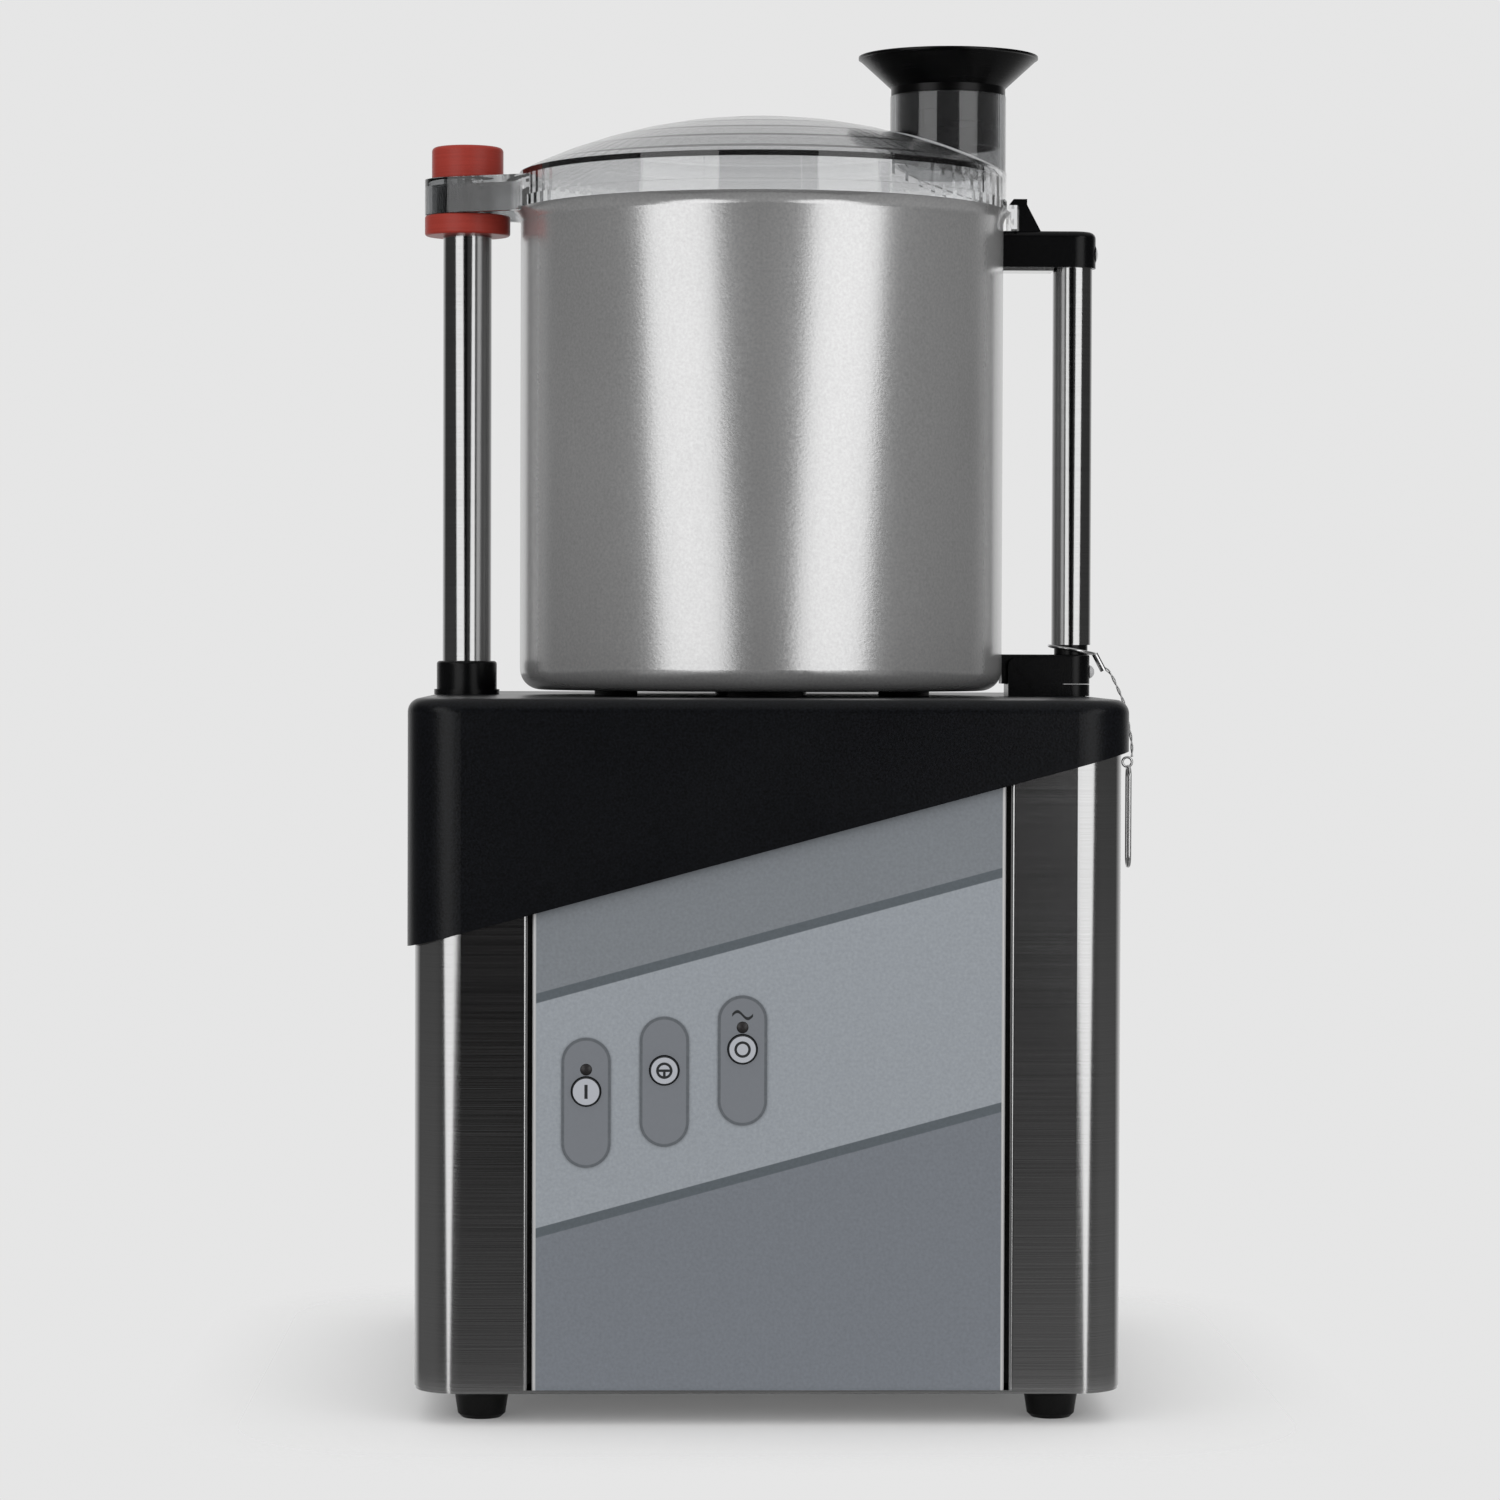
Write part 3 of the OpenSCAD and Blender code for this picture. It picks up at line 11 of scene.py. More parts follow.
import bmesh
import bpy
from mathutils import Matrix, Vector


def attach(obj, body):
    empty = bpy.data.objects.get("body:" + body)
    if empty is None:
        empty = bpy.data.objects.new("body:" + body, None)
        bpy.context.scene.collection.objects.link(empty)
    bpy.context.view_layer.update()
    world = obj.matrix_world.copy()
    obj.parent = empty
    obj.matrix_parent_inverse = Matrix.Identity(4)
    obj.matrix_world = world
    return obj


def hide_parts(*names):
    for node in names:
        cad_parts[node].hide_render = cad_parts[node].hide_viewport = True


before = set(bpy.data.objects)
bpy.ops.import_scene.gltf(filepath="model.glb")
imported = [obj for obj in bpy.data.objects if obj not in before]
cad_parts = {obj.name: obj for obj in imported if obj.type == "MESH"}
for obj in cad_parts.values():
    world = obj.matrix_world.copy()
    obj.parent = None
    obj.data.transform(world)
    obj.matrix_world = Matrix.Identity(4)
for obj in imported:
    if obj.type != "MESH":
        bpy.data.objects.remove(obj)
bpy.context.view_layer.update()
MM = 0.001
scene = bpy.context.scene
scene.view_settings.view_transform = "Standard"

# %% [markdown]
# ## The camera
# The photograph was taken from in front with a long lens, a little above the middle of the machine,
# so the bowl's bottom looks almost flat and the lid's rim curves upwards. The lens and the place
# were found by fitting the machine's known edges to the same edges in the photograph.

# %% set the camera
LENS_MM = 109.53
CAMERA_AT = (-0.0438, -1.7455, 0.2750)
CAMERA_TILT = (88.727, -0.182, -1.303)
camera_data = bpy.data.cameras.new("photo_camera")
camera_data.lens = LENS_MM
camera_data.sensor_width = 36
camera_data.clip_end = 50
camera = bpy.data.objects.new("photo_camera", camera_data)
camera.location = CAMERA_AT
camera.rotation_euler = [math.radians(a) for a in CAMERA_TILT]
scene.collection.objects.link(camera)
scene.camera = camera
print("camera stands", round(camera.location.length, 3), "m from the middle of the feet")

# %% [markdown]
# ## Shader maths
# A material is a graph of nodes. Written out one by one, the simplest formula takes a dozen lines.
# This class wraps a socket, so that Python's own operators add the Math nodes instead.


# %% wrap a socket
class Amount:
    """A number that changes over a surface, or from one direction to the next."""

    def __init__(self, graph, socket):
        self.graph = graph
        self.socket = socket

    def __add__(self, other):
        return self.graph.maths("ADD", self, other)

    def __sub__(self, other):
        return self.graph.maths("SUBTRACT", self, other)

    def __rsub__(self, other):
        return self.graph.maths("SUBTRACT", other, self)

    def __mul__(self, other):
        return self.graph.maths("MULTIPLY", self, other)

    def __truediv__(self, other):
        return self.graph.maths("DIVIDE", self, other)

    def __abs__(self):
        return self.graph.maths("ABSOLUTE", self)

    def __pow__(self, other):
        return self.graph.maths("POWER", self, other)

    def __or__(self, other):
        return self.graph.maths("MAXIMUM", self, other)

    def below(self, edge, soft):
        """1 where this is under the edge and 0 over it, with a soft step between."""
        return self.graph.clamp((edge - self) / soft + 0.5)

    __radd__ = __add__
    __rmul__ = __mul__


def length(a, b):
    """The length of a line that goes a along one axis and b along another."""
    return (a * a + b * b) ** 0.5


# %% [markdown]
# ## A graph of nodes
# Materials and the world are built in the same way, so they share one class. One method, node, adds
# any node, and the others are short names for the few that come up again and again. Patterns in
# a material read Object coordinates, which are metres from the middle of the feet here, because
# every piece's object sits at the origin. The world reads the direction of the ray.


# %% build a graph
class Graph:
    """The nodes of a material or of the world."""

    def __init__(self, tree, coordinates):
        self.tree = tree
        self.place = self.node("ShaderNodeTexCoord").outputs[coordinates]
        apart = self.node("ShaderNodeSeparateXYZ", {}, {"Vector": self.place})
        self.x, self.y, self.z = [Amount(self, apart.outputs[axis]) for axis in "XYZ"]

    def node(self, kind, settings=None, values=None):
        """Any node: its settings first, then the values or links of its sockets."""
        made = self.tree.nodes.new(kind)
        for name, value in (settings or {}).items():
            setattr(made, name, value)
        for name, value in (values or {}).items():
            value = value.socket if isinstance(value, Amount) else value
            if isinstance(value, bpy.types.NodeSocket):
                self.tree.links.new(value, made.inputs[name])
            else:
                made.inputs[name].default_value = value
        return made

    def maths(self, operation, *values):
        made = self.node("ShaderNodeMath", {"operation": operation}, dict(enumerate(values)))
        return Amount(self, made.outputs[0])

    def clamp(self, value):
        return Amount(self, self.node("ShaderNodeClamp", {}, {"Value": value}).outputs[0])

    def ramp(self, value, span, levels, curve="SMOOTHSTEP"):
        """From the first level to the second, as the value crosses the span."""
        made = self.node("ShaderNodeMapRange", {"interpolation_type": curve}, {
            "Value": value, "From Min": span[0], "From Max": span[1],
            "To Min": levels[0], "To Max": levels[1],
        })
        return Amount(self, made.outputs[0])

    def pick(self, mask, low, high):
        """The number low where the mask is 0, and high where it is 1."""
        made = self.node("ShaderNodeMix", {"data_type": "FLOAT"}, {"Factor": mask, 2: low, 3: high})
        return Amount(self, made.outputs[0])

    def blend(self, mask, under, over, how="MIX"):
        """The colour under where the mask is 0, and over where it is 1."""
        under, over = [
            tone if isinstance(tone, bpy.types.NodeSocket) else (*tone, 1) for tone in (under, over)
        ]
        made = self.node(
            "ShaderNodeMix", {"data_type": "RGBA", "blend_type": how},
            {"Factor": mask, 6: under, 7: over},
        )
        return made.outputs[2]

    def noise(self, scale, detail=2.0, stretch=(1, 1, 1), about=(0, 0, 0)):
        """Cloudy noise from 0 to 1. A small stretch along an axis draws the clouds out that way."""
        moved = self.node(
            "ShaderNodeMapping", {}, {"Vector": self.place, "Scale": stretch, "Location": about}
        )
        made = self.node(
            "ShaderNodeTexNoise", {},
            {"Vector": moved.outputs[0], "Scale": scale, "Detail": detail},
        )
        return Amount(self, made.outputs["Fac"])

    def cells(self, scale):
        made = self.node("ShaderNodeTexVoronoi", {}, {"Vector": self.place, "Scale": scale})
        return Amount(self, made.outputs["Distance"])


# %% [markdown]
# ## One finish
# A finish is a Principled shader and what feeds it. Numbers that are the same all over go straight
# on the shader's sockets, and only what changes over the surface is linked.


# %% build a finish
class Finish(Graph):
    """A material under construction."""

    def __init__(self, name, colour, roughness, metallic=0.0, **sockets):
        self.material = bpy.data.materials.new(name)
        self.material.use_nodes = True
        super().__init__(self.material.node_tree, "Object")
        self.shader = self.tree.nodes["Principled BSDF"]
        self.shader.inputs["Base Color"].default_value = (*colour, 1)
        self.shader.inputs["Roughness"].default_value = roughness
        self.shader.inputs["Metallic"].default_value = metallic
        for socket, value in sockets.items():
            self.shader.inputs[socket.replace("_", " ")].default_value = value
        self.material.diffuse_color = (*colour, 1)

    def feed(self, **links):
        """Links what changes over the surface to the shader."""
        for name, value in links.items():
            value = value.socket if isinstance(value, Amount) else value
            self.tree.links.new(value, self.shader.inputs[name.replace("_", " ")])

    def bump(self, height, depth, strength=1.0):
        """height from 0 to 1 stands for a relief that is depth metres deep."""
        made = self.node(
            "ShaderNodeBump", {}, {"Height": height, "Distance": depth, "Strength": strength}
        )
        self.feed(Normal=made.outputs[0])


print("graph and finish classes ready")

# %% [markdown]
# ## Steel
# The bowl is satin all over, as if it had been shot with fine beads: its sand is both in the tone
# and in the relief, so it sparkles at the edges of a highlight. The base is sheet with a brushed
# grain that runs round it, and the tubes are ground bright, with lines round them. An image
# of scratches would repeat, and would have to be fitted to every shape. So the grain is noise,
# which is drawn out in the direction of the lines and fits them all.


# %% satin steel of the bowl
BLACK = (0, 0, 0)
WHITE = (1, 1, 1)


def satin_steel():
    f = Finish("satin_steel", (0.5, 0.5, 0.5), 0.3, 0.68)
    sand = f.noise(1000, 2)
    cloud = f.noise(22, 3, (1, 1, 0.5))
    lathe = f.noise(1, 1, (3, 3, 2600))
    tone = 0.38 + cloud * 0.08 + sand * 0.22
    f.feed(Base_Color=f.blend(f.clamp(tone), BLACK, WHITE))
    f.feed(Roughness=0.16 + cloud * 0.05 + sand * 0.06)
    f.bump(sand * 0.8 + lathe * 0.2, 0.06 * MM, 0.5)
    return f.material


# %% brushed sheet and ground tubes
def brushed_steel(name, tone, roughness, lines, depth, stretch):
    """Steel with this many lines in a metre or so, drawn out where the stretch is small."""
    f = Finish(name, (tone, tone, tone), roughness, 1.0)
    grain = f.noise(1, 2, [lines * s for s in stretch])
    fine = f.noise(1, 1, [2.7 * lines * s for s in stretch], (3, 1, 2))
    cloud = f.noise(14, 3)
    shade = tone - 0.09 + grain * 0.12 + cloud * 0.06
    f.feed(Base_Color=f.blend(f.clamp(shade), BLACK, WHITE))
    f.feed(Roughness=roughness - 0.06 + grain * 0.1 + cloud * 0.04)
    f.bump(grain * 0.6 + fine * 0.4, depth, 0.35)
    return f.material


ROUND_Z = (0.004, 0.004, 1)
ACROSS_X = (1, 0.03, 0.03)
EVEN = (1, 1, 1)
satin = satin_steel()
sheet_steel = brushed_steel("brushed_sheet", 0.42, 0.12, 1900, 0.04 * MM, ROUND_Z)
tube_steel = brushed_steel("ground_tube", 0.42, 0.1, 2600, 0.03 * MM, ROUND_Z)
bright_steel = brushed_steel("bright_steel", 0.62, 0.16, 900, 0.03 * MM, EVEN)
blade_steel = brushed_steel("ground_blade", 0.62, 0.16, 1500, 0.04 * MM, ACROSS_X)
plate_steel = brushed_steel("zinc_plate", 0.5, 0.36, 240, 0.06 * MM, EVEN)
print("steels:", satin.name, sheet_steel.name, tube_steel.name, blade_steel.name)

# %% [markdown]
# ## Plastics and rubber
# Moulded covers take their grain from the tool: thousands of tiny rounded pits. Voronoi cells give
# those pits, a fine noise makes darker and lighter flecks, and a slow noise keeps the gloss from
# being the same everywhere. Rubber is duller. The red caps and the funnel have fine rings round
# them instead, as a lathe leaves. So have the handle's end screws, which are steel: they are so
# small that as a mirror they would show only the dark room in front, so they get a light grey
# that is not metal, a painted reflection in place of the steel's sheen.


# %% moulded plastics
def moulded(name, colour, roughness, grain, depth, **sockets):
    """Plastic with the fine pits of its mould, of which grain counts those in a metre."""
    f = Finish(name, colour, roughness, 0.0, **sockets)
    pits = f.cells(grain)
    cloud = f.noise(18, 3)
    fleck = f.noise(grain * 1.2, 2)
    lighter = [c * 1.9 + 0.001 for c in colour]
    darker = [c * 0.4 for c in colour]
    f.feed(Base_Color=f.blend(f.clamp(fleck * 2.4 + cloud * 0.3 - 0.95), darker, lighter))
    f.feed(Roughness=roughness - 0.05 + cloud * 0.1)
    f.bump(pits, depth, 0.6)
    return f.material


# %% turned plastics
def turned(name, colour, roughness, pitch, depth, **sockets):
    """The fine rings that a lathe leaves, one to each pitch, round an upright axis."""
    f = Finish(name, colour, roughness, 0.0, **sockets)
    rings = f.maths("SINE", f.z * (2 * math.pi / pitch)) * 0.5 + 0.5
    streaks = f.noise(1, 2, (30, 30, 1600))
    cloud = f.noise(60, 3)
    lighter = [c * 1.5 + 0.001 for c in colour]
    f.feed(Base_Color=f.blend(f.clamp(streaks * 0.9 + cloud * 0.3 - 0.1), colour, lighter))
    f.feed(Roughness=roughness - 0.06 + streaks * 0.12)
    f.bump(rings * 0.4 + streaks * 0.6, depth, 0.6)
    return f.material


# %% make the plastics
LOW_GLOSS = {"Specular_IOR_Level": 0.2}
cover_black = moulded(
    "grained_black", (0.0022, 0.0026, 0.0038), 0.3, 1100, 0.04 * MM, **LOW_GLOSS
)
bracket_black = moulded(
    "moulded_black", (0.001, 0.0011, 0.0015), 0.26, 1500, 0.02 * MM, **LOW_GLOSS
)
rubber = moulded("black_rubber", (0.0015, 0.0015, 0.0015), 0.45, 1300, 0.05 * MM, **LOW_GLOSS)
seal_grey = moulded("seal_silicone", (0.5, 0.5, 0.49), 0.5, 1200, 0.03 * MM)
knob_black = moulded("knob_plastic", (0.012, 0.012, 0.013), 0.34, 1200, 0.03 * MM)
nylon = moulded("gland_nylon", (0.02, 0.02, 0.022), 0.42, 1400, 0.03 * MM)
cast = moulded("cast_aluminium", (0.42, 0.43, 0.44), 0.5, 700, 0.12 * MM, Metallic=0.8)
painted = moulded("motor_paint", (0.09, 0.1, 0.11), 0.45, 500, 0.15 * MM)
fan_plastic = moulded("fan_plastic", (0.03, 0.03, 0.032), 0.45, 900, 0.04 * MM)
can_black = moulded("capacitor_can", (0.02, 0.02, 0.022), 0.4, 900, 0.02 * MM)
# the screws' light grey, not metal, is a painted reflection standing in for the steel's sheen
screw_steel = turned("turned_steel", (0.4, 0.4, 0.405), 0.22, 0.6 * MM, 0.02 * MM)
funnel_black = turned(
    "turned_black", (0.0007, 0.0007, 0.0008), 0.25, 1.1 * MM, 0.02 * MM, **LOW_GLOSS
)
red = turned("red_plastic", (0.25, 0.028, 0.019), 0.36, 1.2 * MM, 0.08 * MM, **LOW_GLOSS)
print("plastics made")

# %% [markdown]
# ## The clear lid
# The lid is moulded in clear polycarbonate. Its solid already has real walls, so a plain refracting
# shader bends the light at both faces. What makes it look moulded is a slow ripple from the flow
# of the plastic. Its grey, light in the wall and darker in the dome, the feed tube and the arm, is
# painted shade that stands in for the darker room seen through the lid. A slight haze on the dome
# stands for the scratches of washing, and softens the flat facets of the solid.


# %% clear plastic
# These grey tints are painted shade: they stand in for the darker room seen through the clear
# plastic.
WALL_SHADE_TINT = (0.9, 0.905, 0.91)
DOME_SHADE_TINT = (0.69, 0.695, 0.7)
TUBE_SHADE_TINT = (0.45, 0.455, 0.46)
ARM_SHADE_TINT = (0.25, 0.255, 0.26)
WALL_TOP = 455.5 * MM
ARM_FROM = -93.5 * MM
FEED_X = 70.9 * MM
FEED_R = 22.1 * MM
DOME_HAZE = 0.1


def clear_plastic():
    """Clear, with grey tints that are painted shade for the darker room seen through it, and hazier
    where scuffed.
    """
    f = Finish("clear_plastic", WALL_SHADE_TINT, 0.03, 0.0, IOR=1.55, Transmission_Weight=1.0)
    ripple = f.noise(34, 2)
    scuff = f.noise(700, 3, (1, 1, 0.15))
    dome = 1 - f.z.below(WALL_TOP, 0.6 * MM)
    tube = length(f.x - FEED_X, f.y).below(FEED_R + 0.2 * MM, 0.3 * MM) * dome
    arm = f.x.below(ARM_FROM, 4 * MM)
    shade_tint = f.blend(tube, f.blend(dome, WALL_SHADE_TINT, DOME_SHADE_TINT), TUBE_SHADE_TINT)
    f.feed(Base_Color=f.blend(arm, shade_tint, ARM_SHADE_TINT))
    haze = f.clamp(dome - tube) * DOME_HAZE
    f.feed(Roughness=f.clamp(haze + ripple * 0.03 + scuff * 0.05 - 0.01))
    f.bump(ripple * 0.9 + scuff * 0.1, 0.3 * MM, 0.07)
    return f.material


lid_clear = clear_plastic()
print("lid:", lid_clear.name)

# %% [markdown]
# ## The printed front panel
# The panel is a grey sheet under a printed film. Two sloping stripes run parallel to the edge
# of the black cover and part it into three tones. The height below that edge decides the tone,
# so one number, the drop, draws all of the print, and the print stays sharp from near, which
# an image would not. The film stops short of the panel's two rounded edges, and there a thin
# lighter, slightly metallic strip is painted: partly the bare steel, partly a painted highlight
# for the light on the rounded edges.

# %% the panel's print
SKIRT_Z = 203.9 * MM
SKIRT_SLOPE = 0.272
STRIPE_DROPS = (30.2 * MM, 113.2 * MM)
STRIPE_HALF = 3.45 / 2 * MM
EDGE = 0.3 * MM
FILM_HALF = 82.3 * MM
# The edge strip's colour: bare steel, lightened as a painted highlight for the rounded edges.
EDGE_STEEL_AND_HIGHLIGHT = (0.5, 0.5, 0.5)
TOP_TONE = (0.174, 0.19, 0.208)
BAND_TONE = (0.272, 0.295, 0.322)
LOW_TONE = (0.155, 0.17, 0.193)
STRIPE_TONE = (0.084, 0.1, 0.114)


def film_grain(f, depth=0.03 * MM):
    """The fine leather grain of the printed film."""
    grain = f.noise(900, 3)
    f.bump(grain, depth, 0.5)
    return grain


def printed_panel():
    f = Finish("printed_panel", BAND_TONE, 0.45)
    drop = SKIRT_Z + f.x * SKIRT_SLOPE - f.z
    grain = film_grain(f)
    tone = f.blend(drop.below(STRIPE_DROPS[0], EDGE), BAND_TONE, TOP_TONE)
    tone = f.blend(drop.below(STRIPE_DROPS[1], EDGE), LOW_TONE, tone)
    for at in STRIPE_DROPS:
        tone = f.blend(abs(drop - at).below(STRIPE_HALF, EDGE), tone, STRIPE_TONE)
    speck = f.blend(f.clamp(grain * 1.6 - 0.3), (0.86, 0.86, 0.86), (1.1, 1.1, 1.1))
    film = abs(f.x).below(FILM_HALF, 0.1 * MM)
    # outside the film the lighter strip is the bare steel edge plus a painted highlight
    f.feed(Base_Color=f.blend(film, EDGE_STEEL_AND_HIGHLIGHT, f.blend(1.0, tone, speck, "MULTIPLY")))
    f.feed(Metallic=0.25 - film * 0.25, Roughness=0.3 + film * (0.12 + grain * 0.1))
    return f.material


panel_print = printed_panel()
print("stripes", [round(d / MM, 1) for d in STRIPE_DROPS], "mm below the cover's edge")

# %% [markdown]
# ## Keys and their signs
# Each key is a small round cap in a long recess. The signs on them are the usual ones: a bar
# for start, a ring for stop, a split ring for a pulse, and a wave for the mains over the stop key.
# They are flat print, so they are drawn in the material from the distance to each line.

# %% the signs
WELL_X = (-64.6 * MM, -37.0 * MM, -9.4 * MM)
WELL_Z = tuple(z * MM for z in (114.5, 122.0, 129.5))
KEY_Z = tuple(z + 4 * MM for z in WELL_Z)
KEY_R = 5.1 * MM
INK = (0.012, 0.014, 0.016)
KEY_TONE = (0.395, 0.41, 0.445)
LINE = 0.58 * MM
THIN = LINE * 0.8
RIM_W = 0.45 * MM
BAR_HALF = 2.5 * MM
SIGN_R = 2.45 * MM
SPOKE = 2.4 * MM
SOFT = 0.06 * MM


def key_cap(name, number):
    """The bar for start (0), the split ring for a pulse (1) and the ring for stop (2)."""
    f = Finish(name, KEY_TONE, 0.4)
    x, z = f.x - WELL_X[number], f.z - KEY_Z[number]
    r = length(x, z)
    grain = film_grain(f, 0.01 * MM)
    ink = 1 - r.below(KEY_R - RIM_W, SOFT)
    if number == 0:
        ink = ink | abs(x).below(LINE, SOFT) * abs(z).below(BAR_HALF, SOFT)
    else:
        ink = ink | abs(r - SIGN_R).below(THIN, SOFT)
    if number == 1:
        across = abs(z).below(THIN, SOFT) * abs(x).below(SPOKE, SOFT)
        stem = abs(x).below(THIN, SOFT) * abs(z + SPOKE / 2).below(SPOKE / 2, SOFT)
        ink = ink | across | stem
    f.feed(Base_Color=f.blend(f.clamp(ink + grain * 0.02), KEY_TONE, INK))
    f.feed(Roughness=0.42 + grain * 0.1)
    return f.material


# %% the recesses and the wave over the stop key
WELL_HALF = 8.7 * MM
WELL_RISE = 14.3 * MM
WELL_TONE = (0.155, 0.166, 0.184)
OUTLINE_TONE = (0.08, 0.09, 0.1)
OUTLINE_HALF = 0.5 * MM
EDGE_SOFT = 0.2 * MM
WAVE_LONG = 7.4 * MM
WAVE_HIGH = 1.25 * MM
WAVE_HALF = 0.55 * MM
WAVE_RISE = 16.1 * MM


def well_print():
    f = Finish("well_print", WELL_TONE, 0.45)
    grain = film_grain(f)
    ink = 0.0
    for x0, z0 in zip(WELL_X, WELL_Z):
        beyond = (abs(f.z - z0) - WELL_RISE) | 0.0
        edge = length(f.x - x0, beyond)
        ink = abs(edge - (WELL_HALF - OUTLINE_HALF)).below(OUTLINE_HALF, EDGE_SOFT) | ink
    wave_x = f.x - WELL_X[2]
    swing = f.maths("SINE", wave_x * (-2 * math.pi / WAVE_LONG)) * WAVE_HIGH
    wave = abs(f.z - (WELL_Z[2] + WAVE_RISE) - swing).below(WAVE_HALF, EDGE_SOFT)
    wave = wave * abs(wave_x).below(WAVE_LONG / 2, SOFT)
    tone = f.blend(ink, WELL_TONE, OUTLINE_TONE)
    tone = f.blend(f.clamp(grain * 0.5 - 0.1), tone, [c * 1.15 for c in WELL_TONE])
    f.feed(Base_Color=f.blend(wave, tone, INK))
    f.feed(Roughness=0.42 + grain * 0.1)
    return f.material


caps = [key_cap(name, i) for i, name in enumerate(("start_cap", "pulse_cap", "stop_cap"))]
wells = well_print()
lamp = Finish("lamp_lens", (0.012, 0.011, 0.012), 0.18)
lamp_cloud = lamp.noise(260, 2)
lamp.feed(Roughness=0.34 + lamp_cloud * 0.1)
lamp.feed(Base_Color=lamp.blend(lamp_cloud, (0.007, 0.006, 0.007), (0.02, 0.017, 0.018)))
print("keys:", [m.name for m in caps])

# %% [markdown]
# ## What is inside
# Little of the inside shows, only what can be seen through the slots at the back, but the model
# can be opened. So the boards, the windings and the rotor get finishes of their own too.


# %% finishes of the inner pieces
def board(name, colour):
    """A circuit board: green lacquer over copper tracks, which show as a lighter net."""
    f = Finish(name, colour, 0.35)
    net = f.node(
        "ShaderNodeTexVoronoi", {"feature": "DISTANCE_TO_EDGE"}, {"Vector": f.place, "Scale": 260}
    )
    track = Amount(f, net.outputs["Distance"]).below(0.05, 0.03)
    f.feed(Base_Color=f.blend(track, colour, [c * 1.9 + 0.01 for c in colour]))
    f.bump(track, 0.04 * MM, 0.6)
    return f.material


def wound(name, colour):
    """Enamelled copper wire, packed side by side, with painted shade in the creases between the
    wires.
    """
    f = Finish(name, colour, 0.3, 0.9)
    angle = f.maths("ARCTAN2", f.y, f.x)
    wires = f.maths("SINE", angle * 220.0) * 0.5 + 0.5
    cloud = f.noise(90, 2)
    # the darker lines between the wires are painted shade in the creases
    f.feed(Base_Color=f.blend(f.clamp(wires * 0.7 + cloud * 0.3), [c * 0.3 for c in colour], colour))
    f.bump(wires, 0.4 * MM, 0.8)
    return f.material


def laminated(name, tone):
    """Thin steel sheets in a stack, seen on edge."""
    f = Finish(name, [tone] * 3, 0.45, 0.9)
    sheets = f.maths("SINE", f.z * (2 * math.pi / MM)) * 0.5 + 0.5
    rust = f.noise(120, 3)
    mask = f.clamp(sheets * 0.6 + rust * 0.4)
    f.feed(Base_Color=f.blend(mask, [tone * 0.4] * 3, [tone] * 3))
    f.bump(sheets, 0.15 * MM, 0.6)
    return f.material


green_board = board("green_board", (0.012, 0.085, 0.035))
copper = wound("copper_windings", (0.62, 0.27, 0.11))
lamination = laminated("steel_laminations", 0.34)
print("inner finishes made")

# %% [markdown]
# ## Give every node its finish
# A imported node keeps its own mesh, and only its material slots change. One table holds
# all of them, so a node that was forgotten is easy to find.

# %% finish the nodes
FINISHES = {
    satin: "bowl",
    sheet_steel: "body_shell bottom_tray magnet_sleeve",
    tube_steel: "lid_post grip_tube",
    screw_steel: "handle_screws",
    bright_steel: "upper_strap handle_studs foot_screws post_nut drive_shaft "
    "lanyard_loop lanyard_ferrule lanyard_clip lanyard_wire upper_bearing lower_bearing "
    "blade_spacer clamp_ring lid_magnet knife_hub",
    blade_steel: "lower_blade upper_blade",
    plate_steel: "motor_plate board_bracket capacitor_clamp motor_bolts",
    cover_black: "top_cover",
    bracket_black: "upper_bracket lower_bracket handle_cradle post_boss",
    funnel_black: "funnel",
    rubber: "feet seat_pads shaft_seal",
    seal_grey: "lid_seal",
    knob_black: "hub_knob",
    red: "magnet_cap post_collar",
    nylon: "cable_gland",
    cast: "upper_end_shield lower_end_shield",
    painted: "motor_frame",
    fan_plastic: "cooling_fan reed_switch",
    can_black: "capacitor",
    lid_clear: "lid",
    panel_print: "front_panel",
    caps[0]: "start_key",
    caps[1]: "pulse_key",
    caps[2]: "stop_key",
    wells: "key_wells",
    lamp.material: "indicator_lamps",
    green_board: "control_board keypad_board",
    copper: "stator",
    lamination: "motor_rotor",
}
finished = set()
for material, names in FINISHES.items():
    for name in names.split():
        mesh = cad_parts[name].data
        mesh.materials.clear()
        mesh.materials.append(material)
        finished.add(name)
print("without a finish:", sorted(set(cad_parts) - finished))

# %% [markdown]
# ## The joint round the feed tube
# The feed tube is joined to the dome, and the clear fillet round the joint catches light as a thin
# bright line. An opaque light-grey bead is laid there as a painted highlight for that light. The
# bead follows the curve in which an upright tube meets a ball, so its height comes from the ball's
# own formula at every step round the tube.


# %% helpers for new pieces
def as_mesh(obj):
    """The mesh that a curve makes, with its place in it."""
    scene.collection.objects.link(obj)
    bpy.context.view_layer.update()
    shown = obj.evaluated_get(bpy.context.evaluated_depsgraph_get())
    mesh = bpy.data.meshes.new_from_object(shown)
    bpy.data.objects.remove(obj)
    return mesh


def add_piece(name, bm, material, body):
    """A finished bmesh becomes an object that rides on a body."""
    bmesh.ops.recalc_face_normals(bm, faces=bm.faces)
    mesh = bpy.data.meshes.new(name)
    bm.to_mesh(mesh)
    bm.free()
    mesh.materials.append(material)
    mesh.polygons.foreach_set("use_smooth", [True] * len(mesh.polygons))
    piece = bpy.data.objects.new(name, mesh)
    scene.collection.objects.link(piece)
    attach(piece, body)
    return piece


def curve_of(name, line, radius, closed=False):
    """A round rod along the points of a line."""
    data = bpy.data.curves.new(name, "CURVE")
    data.dimensions = "3D"
    data.bevel_depth = radius
    data.bevel_resolution = 3
    data.use_fill_caps = not closed
    spline = data.splines.new("POLY")
    spline.points.add(len(line) - 1)
    for i, point in enumerate(line):
        spline.points[i].co = (*point, 1)
    spline.use_cyclic_u = closed
    return bpy.data.objects.new(name, data)


